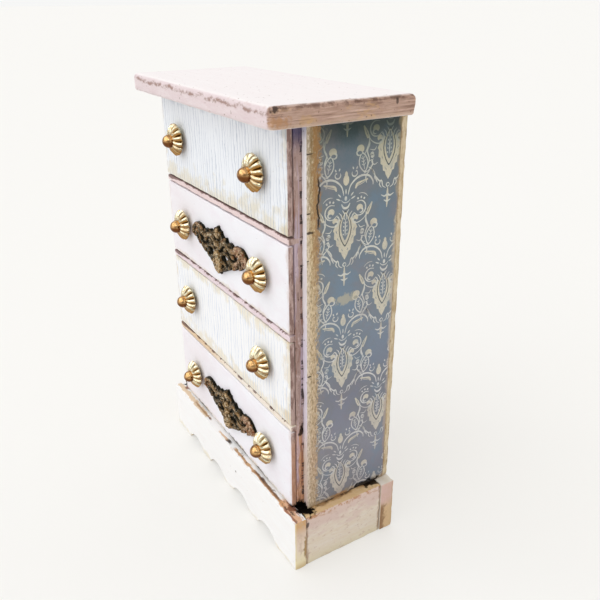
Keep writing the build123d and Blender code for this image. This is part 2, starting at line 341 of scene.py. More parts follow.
def brush_layer(finish, along, shade, strength, relief):
    """Streaks of a slightly different shade, drawn out along the brush's path."""
    streaks = use(brushed, Position=stretch(finish.mm, along))
    finish.lay(streaks, shade, strength)
    finish.raise_by(streaks, relief)


# How far a point lies from the nearest edge of its board, with a wandering line.
# Near and Far are the distances to the board's six faces.
edge_distance, take, give = new_group(
    "edge_distance",
    {"Near": VECTOR_IN, "Far": VECTOR_IN, "Position": VECTOR_IN, "Wander": ("Float", 0.3)},
    {"Distance": "Float"},
)
closest = put(edge_distance, "VectorMath", {0: take["Near"], 1: take["Far"]}, operation="MINIMUM")
gap_x, gap_y, gap_z = axes(closest.outputs[0])
lesser = calc("MINIMUM", gap_x, gap_y)
greater = calc("MAXIMUM", gap_x, gap_y)
middle = calc("MAXIMUM", lesser, calc("MINIMUM", greater, gap_z))
coarse = fade(cloud(take["Position"], 0.7, 2), 0.25, 0.75, -1, 1)
fine = fade(cloud(take["Position"], 3.0, 3), 0.25, 0.75, -0.6, 0.6)
drift = calc("MULTIPLY", calc("ADD", coarse, fine), take["Wander"])
edge_distance.links.new(calc("ADD", middle, drift), give["Distance"])


def product(*values):
    """All the values multiplied."""
    total = values[0]
    for value in values[1:]:
        total = calc("MULTIPLY", total, value)
    return total


# Wear that comes and goes along an edge.
edge_wear, take, give = new_group(
    "edge_wear",
    {"Distance": ("Float", 1.0), "Reach": ("Float", 0.5), "Cover": ("Float", 0.5), "Position": VECTOR_IN},
    {"Mask": "Float"},
)
worn = fade(calc("DIVIDE", take["Distance"], take["Reach"]), 1.0, 0.25)
patch = cloud(take["Position"], 0.33, 4, 0.65)
kept = calc("SUBTRACT", 1.0, take["Cover"])
over = calc("SUBTRACT", patch, fade(kept, 0.0, 1.0, 0.2, 0.8))
edge_wear.links.new(product(worn, fade(over, -0.06, 0.08)), give["Mask"])


def rub_edges(finish, reach, cover, shade, strength=1.0, wander=0.3):
    """Paint rubbed off along the board's edges, down to the shade."""
    distance = use(edge_distance, Near=finish.near, Far=finish.far, Position=finish.mm, Wander=wander)
    mask = use(edge_wear, Distance=distance, Reach=reach, Cover=cover, Position=finish.mm)
    finish.lay(mask, shade, strength)
    finish.raise_by(mask, -0.05)


def spot(finish, at, radius, shade, strength=1.0, squeeze=(1, 1, 1)):
    """A ragged patch of colour round a point of the chest; a black one takes the sheen away."""
    centre = tuple(a * b for a, b in zip(at, squeeze))
    place = stretch(finish.mm, squeeze)
    away = put(finish.tree, "VectorMath", {0: place, 1: centre}, operation="DISTANCE").outputs["Value"]
    ragged = fade(cloud(finish.mm, 0.9, 3, 0.55), 0.25, 0.75, -0.42, 0.42)
    mask = fade(calc("ADD", calc("DIVIDE", away, radius), ragged), 1.0, 0.55)
    finish.lay(mask, shade, strength)
    if shade is BLACK_STAIN_AND_SHADE:
        kept = calc("SUBTRACT", 0.5, calc("MULTIPLY", mask, 0.45))
        finish.sheen = kept if finish.sheen is None else calc("MINIMUM", finish.sheen, kept)


for hand, sign in (("left", -1), ("right", 1)):
    finish = Finish(f"carcase_{hand}_paint", MAUVE, 0.6)
    brush_layer(finish, (1, 1, 0.16), colour(138, 110, 102, SIDE_LIGHT), 0.7, 0.02)
    # the lowest third is rubbed back to tan and reddish wood
    low_down = fade(finish.z, 36.0, 31.0)
    finish.lay(low_down, colour(192, 142, 104, SIDE_LIGHT), 0.85)
    reddish = cloud(stretch(finish.mm, (1, 1.6, 0.12)), 1.1, 4, 0.7)
    reddish = calc("ADD", reddish, calc("MULTIPLY", low_down, 0.05))
    finish.lay(fade(reddish, 0.54, 0.62), colour(124, 76, 56, SIDE_LIGHT), 0.7)
    lilac = cloud(stretch(finish.mm, (1, 1.2, 0.08)), 0.8, 3, 0.6)
    finish.lay(fade(lilac, 0.52, 0.6), colour(186, 172, 190, SIDE_LIGHT), 0.6)
    chips = cloud(stretch(finish.mm, (1, 1, 0.35)), 1.3, 4, 0.7)
    finish.lay(fade(chips, 0.6, 0.68), colour(74, 50, 44, SIDE_LIGHT), 0.85)
    finish.lay(fade(chips, 0.42, 0.34), MAUVE_PALE, 0.6)
    rub_edges(finish, 0.25, 0.4, colour(96, 68, 60, SIDE_LIGHT), 0.8, 0.15)
    # black has gathered in dashes along the joint with the outer panel
    dashes = fade(cloud(stretch(finish.mm, (0, 0, 0.22)), 0.9, 5, 0.75), 0.5, 0.54)
    ragged = fade(cloud(finish.mm, 1.6, 3, 0.6), 0.3, 0.7, -0.15, 0.15)
    joint = product(fade(calc("ADD", finish.y, ragged), -7.45, -7.3), dashes)
    finish.lay(joint, colour(38, 24, 24, SIDE_LIGHT), 0.9)
    # painted shade: blue-black under the overhang of the top board
    finish.lay(fade(finish.z, 90.5, 95.0), colour(64, 62, 98, SIDE_LIGHT), 0.85)
    # painted shade with black dirt: the pocket at the front corner over the plinth
    spot(finish, (sign * 29.6, -8.2, 13.4), 2.2, BLACK_STAIN_AND_SHADE, 1.0, (1, 1, 0.9))
    spot(finish, (sign * 29.6, -7.4, 33.2), 0.8, BLACK_STAIN_AND_SHADE, 0.9, (1, 1, 0.6))
    node = f"carcase_side_{hand}"
    worn_board(node, finish.done(), "carcase", 20 + sign, 0.15, 0.1, 0.03, 1.2)

# ---- carcase back --------------------------------------------------------------------
# One thin bare board with upright grain, nailed over the rear edges of sides, bottom and
# sub top. Its ends show as a narrow cream line behind the papers, rubbed brown.
FRONT_LIGHT = 1.06         # strength of the light on the faces that look forwards and back

finish = Finish("back_board_finish", colour(212, 186, 150, FRONT_LIGHT), 0.68)
fibre = use(grained, Position=stretch(finish.mm, (1.0, 1.0, 0.1)))
finish.lay(fibre, colour(176, 142, 104, FRONT_LIGHT), 0.75)
finish.raise_by(fibre, 0.03)
ends = fade(finish.facing_x, 0.5, 0.8)
finish.lay(ends, colour(206, 190, 160, SIDE_LIGHT))
end_streaks = fade(cloud(stretch(finish.mm, (1, 1, 0.3)), 0.9, 4, 0.7), 0.4, 0.65)
finish.lay(product(ends, end_streaks), colour(166, 138, 96, SIDE_LIGHT), 0.7)
rub_edges(finish, 0.45, 0.5, colour(150, 116, 76), 0.6, 0.2)
worn_board("carcase_back", finish.done(), "carcase", 41, 0.18, 0.18, 0.04, 1.2)

# ---- dividers ------------------------------------------------------------------------
# Three thin shelves housed in the sides; each ends in a nose between two drawer fronts.
# Two noses are dusty pink and the lowest is cream. A broken dark line along the top of each
# is painted shade of the gap above it.
NOSES = {
    # paint, streaks, and how much more of the top edge takes the painted gap shade
    1: ((240, 220, 220), (214, 188, 186), 0.08),
    2: ((240, 224, 230), (216, 194, 200), 0.0),
    3: ((246, 238, 228), (232, 214, 192), -0.02),
}
BROWN = colour(118, 84, 66)

# Small dark specks and dust, a few in each patch.
specked, take, give = new_group(
    "specked",
    {"Position": VECTOR_IN, "Size": ("Float", 0.16), "Amount": ("Float", 0.3)},
    {"Mask": "Float"},
)
dots = put(specked, "TexVoronoi", {"Vector": take["Position"], "Scale": 1.1})
chance = axes(dots.outputs["Color"])[0]
chosen = calc("LESS_THAN", chance, take["Amount"])
size = calc("MULTIPLY", take["Size"], fade(chance, 0.0, 0.4, 0.5, 1.3))
uneven = fade(cloud(take["Position"], 5.0, 2), 0.3, 0.7, -0.08, 0.08)
inside = fade(calc("DIVIDE", calc("ADD", dots.outputs["Distance"], uneven), size), 1.0, 0.5)
specked.links.new(product(chosen, inside), give["Mask"])


def speckle(finish, shade, strength, size=0.16, amount=0.3):
    """Small dark specks over the whole board."""
    finish.lay(use(specked, Position=finish.mm, Size=size, Amount=amount), shade, strength)


def mauve_ends(finish):
    """The ends of fronts and dividers carry the mauve coat of the carcase sides."""
    mask = fade(finish.facing_x, 0.55, 0.85)
    finish.lay(mask, MAUVE)
    streaks = cloud(stretch(finish.mm, (1, 1, 0.25)), 1.3, 4, 0.7)
    finish.lay(product(mask, fade(streaks, 0.45, 0.58)), colour(112, 82, 74, SIDE_LIGHT), 0.8)
    finish.lay(product(mask, fade(streaks, 0.42, 0.32)), MAUVE_PALE, 0.7)
    finish.lay(product(mask, fade(finish.z, 33.0, 29.0)), colour(176, 126, 92, SIDE_LIGHT), 0.65)


for number, (paint, streak_shade, cover) in NOSES.items():
    finish = Finish(f"divider_{number}_paint", colour(*paint, FRONT_LIGHT), 0.6)
    brush_layer(finish, (0.25, 1, 1), colour(*streak_shade, FRONT_LIGHT), 0.5, 0.01)
    if number == 3:
        finish.lay(fade(finish.x, 2.0, -14.0), colour(222, 190, 148, FRONT_LIGHT), 0.8)
    # painted shade of the gap above the nose: a broken dark line along its top, broader to the left
    dashes = cloud(stretch(finish.mm, (0.3, 0, 0)), 0.9, 4, 0.7)
    leftwards = fade(finish.x, -14.0, -27.0, 0.0, 0.2)
    broken = fade(calc("ADD", dashes, calc("ADD", leftwards, cover)), 0.47, 0.53)
    thickness = fade(dashes, 0.35, 0.7, 0.3, -0.1)
    thickness = calc("SUBTRACT", thickness, fade(finish.x, -20.0, -28.0, 0.0, 0.5))
    upper = fade(calc("ADD", finish.gap["top"], thickness), 0.42, 0.2)
    finish.lay(product(upper, broken), colour(98, 60, 50), 0.85)
    speckle(finish, BROWN, 0.8, 0.16, 0.3)
    mauve_ends(finish)
    node = f"drawer_divider_{number}"
    worn_board(node, finish.done(), "carcase", 10 + number, 0.2, 0.14, 0.03, 0.8)

# ---- outer panels --------------------------------------------------------------------
# Two boards glued outside the carcase sides, set back behind the drawer fronts. Only their
# front edges are painted: lilac white above, yellower and dirtier towards the plinth.
CHEST_HEIGHT = to_mm(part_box("top_board")[1]).z
DARK_BROWN = colour(62, 40, 28)
PANEL_EDGE_LOOKS = (
    # height up the chest, colour there
    (14, (204, 182, 170)),
    (26, (216, 198, 178)),
    (36, (230, 222, 236)),
    (52, (234, 228, 246)),
    (62, (248, 242, 246)),
    (92, (252, 250, 254)),
)


def by_height(finish, stops, light=SIDE_LIGHT):
    """A colour that changes up the chest: stops are (height in millimetres, look)."""
    ramp = put(finish.tree, "ValToRGB", {0: calc("DIVIDE", finish.z, CHEST_HEIGHT)})
    marks = ramp.color_ramp.elements
    for mark, (height, look) in zip(marks, (stops[0], stops[-1])):
        mark.position = height / CHEST_HEIGHT
        mark.color = colour(*look, light)
    for height, look in stops[1:-1]:
        marks.new(height / CHEST_HEIGHT).color = colour(*look, light)
    return ramp.outputs["Color"]


for hand, sign in (("left", -1), ("right", 1)):
    finish = Finish(f"panel_{hand}_paint", None, 0.6)
    finish.base = by_height(finish, PANEL_EDGE_LOOKS, FRONT_LIGHT)
    brush_layer(finish, (1, 1, 0.2), colour(206, 192, 194, FRONT_LIGHT), 0.45, 0.015)
    rub_edges(finish, 0.2, 0.34, colour(120, 90, 78), 0.85, 0.14)
    speckle(finish, DARK_BROWN, 0.7, 0.2, 0.3)
    # painted shade: darker and bluer under the top board
    finish.lay(fade(finish.z, 93.0, 95.5), colour(96, 96, 140), 0.5)
    # painted shade with black dirt: the pocket at the front corner over the plinth
    spot(finish, (sign * 30.4, -7.0, 13.4), 1.8, BLACK_STAIN_AND_SHADE, 1.0)
    node = f"side_panel_{hand}"
    worn_board(node, finish.done(), "carcase", 24 + sign, 0.2, 0.14, 0.04, 1.0)

# ---- side papers ---------------------------------------------------------------------
# A sheet of slate-blue paper with a traditional damask in cream is glued on each panel, and
# sanded back along its front edge. The print is flat shapes a few hundredths proud of it.
REPEAT_ACROSS = 19.0
REPEAT_UP = 28.4
COLUMNS = ((1.45, 75.5), (11.05, 89.7))        # middle of a palmette in each column
MOTIF_SIDE, MOTIF_FOOT, MOTIF_HEAD = 7.0, 11.0, 18.0    # reach of a motif from its middle
PRINT_ROOM = 0.05          # the sheet's face is sunk this much, so that the print keeps inside
PRINT_LIFT = 0.002         # its lowest layer's height over the sheet's face
PRINT_DEPTH = 0.044        # and its layers' thickness together
FULLNESS = 0.57            # half width of a stroke at its fullest, as a share of its width
GROUND, CREAM, PALE, SHADE = range(4)           # material slots of the sheet
# heights up the chest with the colours there: of the ground, of the sanded strip along the
# front, of the print's three tones, and of the rubbed back edge; each darkens near the top
# with painted shade under the top board
GROUND_LOOKS = (
    (15, (114, 116, 129)),
    (26, (134, 135, 148)),
    (40, (118, 122, 138)),
    (55, (118, 134, 152)),
    (68, (112, 130, 146)),
    (84, (100, 116, 128)),
    (91, (88, 104, 113)),
    (94, (62, 84, 86)),
)
STRIP_LOOKS = (
    (15, (186, 166, 140)),
    (26, (190, 164, 138)),
    (36, (198, 176, 146)),
    (60, (206, 186, 152)),
    (75, (202, 180, 140)),
    (85, (172, 150, 112)),
    (93, (150, 128, 92)),
)
CREAM_LOOKS = ((15, (190, 182, 172)), (40, (204, 198, 184)), (86, (204, 197, 174)), (94, (160, 158, 132)))
PALE_LOOKS = ((15, (192, 190, 190)), (40, (208, 207, 206)), (86, (206, 206, 195)), (94, (146, 152, 140)))
SHADE_LOOKS = ((15, (90, 86, 88)), (40, (96, 96, 94)), (94, (74, 78, 74)))
BACK_LOOKS = (
    (15, (130, 112, 108)),
    (34, (176, 162, 150)),
    (55, (188, 176, 162)),
    (75, (176, 162, 140)),
    (93, (136, 122, 92)),
)

# A wash of colour that creeps in from one side: mostly stain, and painted shade along drawer 1's top.
side_wash, take, give = new_group(
    "side_wash",
    {"Distance": ("Float", 1.0), "Reach": ("Float", 3.0), "Position": VECTOR_IN},
    {"Mask": "Float"},
)
share = calc("DIVIDE", take["Distance"], take["Reach"])
blotch = fade(cloud(take["Position"], 0.28, 5, 0.62), 0.25, 0.75, -0.75, 0.75)
side_wash.links.new(fade(calc("ADD", share, blotch), 1.0, 0.0), give["Mask"])


def wash_side(finish, side, reach, shade, strength, mode="MULTIPLY"):
    """A wash of stain along one side of the board, of painted shade along drawer 1's top."""
    mask = use(side_wash, Distance=finish.gap[side], Reach=reach, Position=finish.mm)
    finish.lay(mask, shade, strength, mode)


def smooth_path(points, steps=5):
    """A smooth path through points, with so many steps from each to the next."""
    points = [Vector(point) for point in points]
    ends = [2 * points[0] - points[1]] + points + [2 * points[-1] - points[-2]]
    path = []
    for a, b, c, d in zip(ends, ends[1:], ends[2:], ends[3:]):
        for step in range(steps):
            t = step / steps
            path.append(
                0.5
                * (2 * b + (c - a) * t + (2 * a - 5 * b + 4 * c - d) * t**2 + (3 * b - 3 * c + d - a) * t**3)
            )
    return path + [points[-1]]


def stroke(points, width, start=0.35, end=0.35, steps=5):
    """A ribbon along a smooth path, thickest in the middle; start and end are its end widths."""
    path = smooth_path(points, steps)
    left, right = [], []
    for index, point in enumerate(path):
        ahead = path[min(index + 1, len(path) - 1)] - path[max(index - 1, 0)]
        side = Vector((-ahead.y, ahead.x)).normalized()
        t = index / (len(path) - 1)
        swell = math.sin(math.pi * t)
        half = width * FULLNESS * (swell + (1 - swell) * (start * (1 - t) + end * t))
        left.append(point + side * half)
        right.append(point - side * half)
    return left + right[::-1]


def oval(x, y, across_r, up_r, turn=0.0, point=0.0, count=18):
    """An oval; point above 0 draws its two ends out to tips."""
    shape = []
    for step in range(count):
        angle = 2 * math.pi * step / count
        squeeze = 1.0 - point * abs(math.sin(angle)) ** 2 * 0.75
        place = Vector((across_r * math.cos(angle) * squeeze, up_r * math.sin(angle)))
        place.rotate(Matrix.Rotation(math.radians(turn), 2))
        shape.append(place + Vector((x, y)))
    return shape


def hoop(x, y, radius, width, start=0.0, sweep=360.0, ends=0.4):
    """A ring or part of one, drawn as a ribbon."""
    count = max(4, int(abs(sweep) / 40))
    turns = [math.radians(start + sweep * step / count) for step in range(count + 1)]
    return stroke([(x + radius * math.cos(a), y + radius * math.sin(a)) for a in turns], width, ends, ends, 3)


def almond(x, y, turn):
    """A thinly outlined leaf with a vein and short side veins."""
    shapes = [(PALE, oval(x, y, 1.08, 1.95, turn, 0.55)), (GROUND, oval(x, y, 0.84, 1.62, turn, 0.55))]
    lean = Matrix.Rotation(math.radians(turn), 2)
    veins = [((0, -1.3), (0, 1.2))]
    veins += [((0, rise), (side * 0.42, rise + 0.4)) for rise in (-0.6, 0.0, 0.6) for side in (-1, 1)]
    for vein in veins:
        ends = [lean @ Vector(end) + Vector((x, y)) for end in vein]
        shapes.append((PALE, stroke(ends, 0.15, 0.7, 0.7, 1)))
    return shapes


def berry(x, y, radius, hand=1):
    """A berry cut from below by a curling stem, like a comma."""
    lean = hand * radius
    return [
        (CREAM, oval(x, y, radius, 0.9 * radius, count=14)),
        (GROUND, oval(x + 0.1 * lean, y - 0.78 * radius, 0.55 * radius, 0.36 * radius, 15 * hand, 0, 10)),
        (PALE, hoop(x + 0.35 * lean, y - 0.75 * radius, 0.62 * radius, 0.26, 90, -215 * hand)),
    ]


def palmette_outline():
    """Right half of the serrated flame leaf, from its foot up to its shoulder."""
    lower = ((0.0, -5.2), (0.6, -4.3), (0.85, -3.6), (1.3, -3.4), (1.45, -2.4), (1.95, -2.1), (2.0, -1.0))
    upper = ((2.5, -0.7), (2.45, 0.5), (2.75, 0.9), (2.4, 1.6), (2.3, 2.4), (1.75, 2.2), (1.5, 3.1), (1, 2.8))
    return [Vector(point) for point in lower + upper]


def palmette_motif():
    """One whole motif about the palmette's middle: (material slot, outline) in drawing order."""
    half = palmette_outline()
    middle = half + [Vector((-p.x, p.y)) for p in half[:0:-1]]
    shapes = [
        (CREAM, middle),
        (SHADE, oval(0, 0.9, 1.48, 3.5, 0, 0.72)),
        (CREAM, oval(0, 0.95, 1.27, 3.2, 0, 0.72)),
        (GROUND, oval(0, 1.25, 0.92, 2.6, 0, 0.66)),
        (PALE, oval(0, 1.2, 0.13, 1.75, 0, 0.3)),
        (PALE, stroke([(0, 4.95), (0, 4.75)], 0.4, 1, 1)),
        (PALE, oval(0, 6.7, 0.3, 0.46, count=10)),
        (PALE, stroke([(0, 7.5), (0, 8.5)], 0.24)),
        (CREAM, oval(0, 10.1, 0.66, 1.0, count=14)),
        (CREAM, oval(0, 11.2, 0.34, 0.55, 0, 0.5, 10)),
        (PALE, hoop(0, -6.2, 0.36, 0.2)),
        (CREAM, stroke([(0, -6.7), (0, -8.4), (0, -10.6)], 0.46, 0.3, 0.3)),
        (PALE, stroke([(-0.95, 5.75), (-0.55, 5.1), (0, 4.9), (0.55, 5.1), (0.95, 5.75)], 0.4)),
        (PALE, stroke([(-1.0, 6.5), (-0.5, 6.05), (0, 5.95), (0.5, 6.05), (1.0, 6.5)], 0.2)),
        (PALE, stroke([(-1.5, -8.0), (-0.7, -8.35), (0, -8.1), (0.7, -8.35), (1.5, -8.0)], 0.34)),
        (PALE, stroke([(-0.8, -9.1), (0, -9.4), (0.8, -9.1)], 0.3)),
    ]
    shoulder_scroll = [(0.55, 7.6), (1, 9), (2.2, 10.1), (3.6, 10.55), (5.1, 10.3), (6, 9.3), (6.1, 8.5)]
    foot_scroll = [(4.2, -2.1), (3.7, -3.2), (3, -4.2), (2.1, -5.2), (1.5, -5.3), (1.2, -6.3), (0.5, -6.75)]
    right = [
        *[(PALE, oval(0.42 - 0.03 * step, -0.1 + 0.75 * step, 0.11, 0.2, -25, count=8)) for step in range(5)],
        (PALE, stroke([(0.2, 3.0), (0.28, 3.9), (0.75, 4.6)], 0.2)),
        (PALE, stroke([(0.75, 2.8), (0.95, 3.6), (1.5, 4.2)], 0.18)),
        (PALE, stroke([(1.3, 2.6), (1.5, 3.2), (2.1, 3.7)], 0.16)),
        (GROUND, stroke([(0.5, -3.4), (0.75, -2.9)], 0.12)),
        (GROUND, stroke([(1.5, -1.2), (1.75, -0.6)], 0.12)),
        (GROUND, stroke([(1.9, 0.3), (2.1, 0.9)], 0.12)),
        *berry(2.3, 2.75, 0.62, -1),
        *berry(3.2, 4.55, 0.74),
        (PALE, hoop(3.15, 4.5, 1.42, 0.25, -150, 270)),
        (PALE, stroke([(1.9, 3.8), (1.5, 3.2), (1.9, 1.9), (3.0, 1.8), (4.2, 2.4), (4.8, 3.3)], 0.2)),
        (PALE, oval(2.75, 6.35, 0.2, 0.24, 30, count=8)),
        (PALE, oval(3.5, 6.5, 0.2, 0.24, 0, count=8)),
        (PALE, oval(4.2, 6.2, 0.2, 0.24, -35, count=8)),
        (PALE, hoop(3.4, 5.4, 1.9, 0.13, 35, 70)),
        (PALE, stroke([(0.5, 7.3), (0.65, 8.3)], 0.18)),
        (PALE, stroke([(1.1, 7.1), (1.7, 7.7)], 0.24)),
        (PALE, stroke([(1.2, 6.5), (2.1, 6.9)], 0.24)),
        (PALE, stroke(shoulder_scroll, 0.34)),
        (CREAM, stroke([(2.1, 8.3), (2.5, 9.0), (3.5, 9.3), (4.9, 9.75)], 0.6)),
        (GROUND, stroke([(2.5, 8.85), (3.5, 9.2), (4.4, 9.5)], 0.13)),
        (PALE, stroke([(4.9, 11.9), (5.6, 11.5), (6.4, 10.4), (6.3, 9.4)], 0.24)),
        (PALE, stroke([(3.9, 10.9), (5.0, 11.3), (5.8, 12.3), (5.6, 13.1), (5.0, 12.9)], 0.22)),
        (PALE, hoop(1.85, 11.2, 0.62, 0.22, 150, 250)),
        (PALE, oval(2.2, 11.55, 0.2, 0.14, 40, count=8)),
        (PALE, oval(1.5, 12.15, 0.15, 0.28, 20, count=8)),
        (PALE, oval(2.35, 12.1, 0.15, 0.28, -25, count=8)),
        *almond(3.75, 12.9, 12),
        *berry(3.0, 15.4, 0.84, -1),
        (PALE, stroke([(4.0, 14.4), (4.5, 15.3), (4.9, 16.4), (4.9, 17.8)], 0.28)),
        (PALE, hoop(5.7, 14.15, 0.34, 0.24)),
        (PALE, hoop(3.9, -0.3, 0.34, 0.24)),
        (CREAM, [Vector(p) for p in ((4.7, 3), (5, 4.1), (5.9, 5.3), (6.15, 5.15), (5.75, 3.9), (5.2, 2.9))]),
        (GROUND, stroke([(5.0, 3.3), (5.6, 4.6)], 0.12)),
        (PALE, stroke([(4.9, 3.3), (4.6, 1.9), (5.1, 0.7), (4.6, -0.8), (4.9, -2.2)], 0.25)),
        (PALE, stroke([(3.0, 1.3), (3.5, 0.7), (4.5, 0.9)], 0.18)),
        (PALE, stroke([(2.6, -1.7), (3.4, -2.0), (4.0, -1.4), (3.6, -0.9)], 0.18)),
        (PALE, stroke(foot_scroll, 0.25)),
        (PALE, stroke([(3.3, -3.6), (2.9, -4.7), (2.5, -5.5)], 0.22)),
        (PALE, stroke([(1.6, -5.0), (2.0, -5.9), (1.5, -6.6)], 0.2)),
        (PALE, stroke([(4.4, -3.0), (5.2, -3.9), (5.0, -5.2)], 0.22)),
    ]
    shapes += right
    shapes += [(kind, [Vector((-point.x, point.y)) for point in shape][::-1]) for kind, shape in right]
    return shapes


def counterclockwise(shape):
    """The outline running the same way round, whichever way it was drawn."""
    area = sum(a.x * b.y - b.x * a.y for a, b in zip(shape, shape[1:] + shape[:1]))
    return shape if area > 0 else shape[::-1]


def motif_haze(finish):
    """A greyish halo round each motif of the print, on the half-drop lattice."""
    nearest = None
    for column_y, column_z in COLUMNS:
        parts = []
        for value, middle, repeat, squeeze in (
            (finish.y, column_y, REPEAT_ACROSS, 1.0),
            (finish.z, column_z + 2.0, REPEAT_UP, 0.72),
        ):
            shifted = calc("DIVIDE", calc("SUBTRACT", value, middle - repeat / 2), repeat)
            within = calc("SUBTRACT", calc("FRACT", shifted), 0.5)
            parts.append(calc("POWER", calc("MULTIPLY", within, repeat * squeeze), 2.0))
        away = calc("SQRT", calc("ADD", *parts))
        nearest = away if nearest is None else calc("MINIMUM", nearest, away)
    stir = fade(cloud(finish.mm, 0.6, 4, 0.7), 0.25, 0.75, -1.6, 1.6)
    return fade(calc("ADD", nearest, stir), 8.2, 5.6)


def paper_finish(name, looks, sign, hazy=False):
    """The paper's or print's colour, with the sheet's sanding, soiling, stains and painted shade under the
    top.
    """
    finish = Finish(name, None, 0.72)
    finish.base = by_height(finish, looks)
    if hazy:
        finish.lay(motif_haze(finish), colour(120, 120, 118, SIDE_LIGHT), 0.36)
    mottle = cloud(finish.mm, 0.14, 5, 0.65)
    finish.lay(fade(mottle, 0.5, 0.66), colour(132, 122, 126, SIDE_LIGHT), 0.34)
    finish.lay(fade(mottle, 0.46, 0.34), colour(104, 132, 154, SIDE_LIGHT), 0.34)
    grit = fade(cloud(finish.mm, 3.2, 3, 0.7), 0.3, 0.7)
    finish.lay(grit, colour(112, 118, 124, SIDE_LIGHT), 0.22)
    # painted shade under the top board: the sheet's upper edge darkened to teal
    shade_under_top = product(fade(finish.z, 90.0, 95.5), fade(finish.facing_x, 0.4, 0.8))
    finish.lay(shade_under_top, colour(54, 80, 72, SIDE_LIGHT), 0.75, "MULTIPLY")
    # the front edge is sanded to the board, speckled where the paper begins
    ragged = fade(cloud(stretch(finish.mm, (1, 1, 0.6)), 1.6, 5, 0.75), 0.25, 0.75, -0.8, 0.8)
    from_edge = calc("ADD", finish.gap["front"], ragged)
    halo = product(fade(from_edge, 4.4, 2.4), fade(cloud(finish.mm, 0.7, 4, 0.7), 0.35, 0.65))
    finish.lay(halo, colour(136, 130, 112, SIDE_LIGHT), 0.5)
    strip = by_height(finish, STRIP_LOOKS)
    finish.lay(fade(from_edge, 2.7, 1.9), strip, 0.95)
    streak = cloud(stretch(finish.mm, (1, 1.7, 0.6)), 1.7, 5, 0.75)
    on_strip = fade(from_edge, 2.6, 2.1)
    finish.lay(product(on_strip, fade(streak, 0.48, 0.62)), colour(122, 94, 56, SIDE_LIGHT), 0.7)
    finish.lay(product(on_strip, fade(streak, 0.45, 0.34)), colour(226, 212, 186, SIDE_LIGHT), 0.8)
    outer = product(fade(finish.gap["front"], 0.9, 0.1), fade(streak, 0.35, 0.6, 0.9, 0.3))
    finish.lay(outer, colour(222, 214, 204, SIDE_LIGHT), 0.6)
    off_border = calc("ABSOLUTE", calc("SUBTRACT", from_edge, 2.0))
    deep = product(fade(off_border, 1.2, 0.3), fade(finish.z, 60.0, 76.0, 0.25, 1.0))
    finish.lay(deep, colour(150, 108, 58, SIDE_LIGHT), 0.7)
    # a torn crease beside the strip
    crease_y = fade(cloud(stretch(finish.mm, (0, 0, 1)), 0.35, 3), 0.3, 0.7, 2.1, 2.8)
    crease = fade(calc("ABSOLUTE", calc("SUBTRACT", finish.gap["front"], crease_y)), 0.3, 0.08)
    crease_span = product(fade(finish.z, 76.5, 78.5), fade(finish.z, 87.5, 86.0))
    finish.lay(product(crease, crease_span), colour(30, 26, 24, SIDE_LIGHT), 0.95)
    # fine dark nicks across the strip
    edge = sign * 31.3
    nicks = ((-6.5, 91.2, 0.8), (-6.7, 80.6, 0.5), (-6.3, 77.0, 1.1), (-6.9, 71.6, 0.6), (-6.4, 47.0, 0.7))
    for nick_y, nick_z, reach in nicks:
        spot(finish, (edge, nick_y, nick_z), reach, colour(52, 36, 22, SIDE_LIGHT), 0.9, (1, 0.9, 3.6))
    back_mask = use(side_wash, Distance=finish.gap["back"], Reach=0.75, Position=finish.mm)
    finish.lay(back_mask, by_height(finish, BACK_LOOKS), 0.85)
    wash_side(finish, "bottom", 1.4, colour(172, 146, 106, SIDE_LIGHT), 0.6, "MIX")
    spot(finish, (edge, 8.8, 13.8), 1.5, BLACK_STAIN_AND_SHADE, 0.9, (1, 0.33, 1.3))
    spot(finish, (edge, 1.5, 13.8), 0.9, colour(176, 132, 84), 0.8, (1, 0.4, 1.2))
    spot(finish, (edge, 1.8, 62.0), 1.5, colour(190, 180, 150, SIDE_LIGHT), 0.55, (1, 0.45, 1.2))
    return finish.done()


def stack_levels(shapes):
    """The layer of each shape, so that shapes that may overlap never share a plane."""
    boxes, levels = [], []
    for _, outline in shapes:
        xs, ys = [point.x for point in outline], [point.y for point in outline]
        box = (min(xs), min(ys), max(xs), max(ys))
        under = [
            level
            for other, level in zip(boxes, levels)
            if other[0] < box[2] and box[0] < other[2] and other[1] < box[3] and box[1] < other[3]
        ]
        boxes.append(box)
        levels.append(1 + max(under, default=0))
    return levels


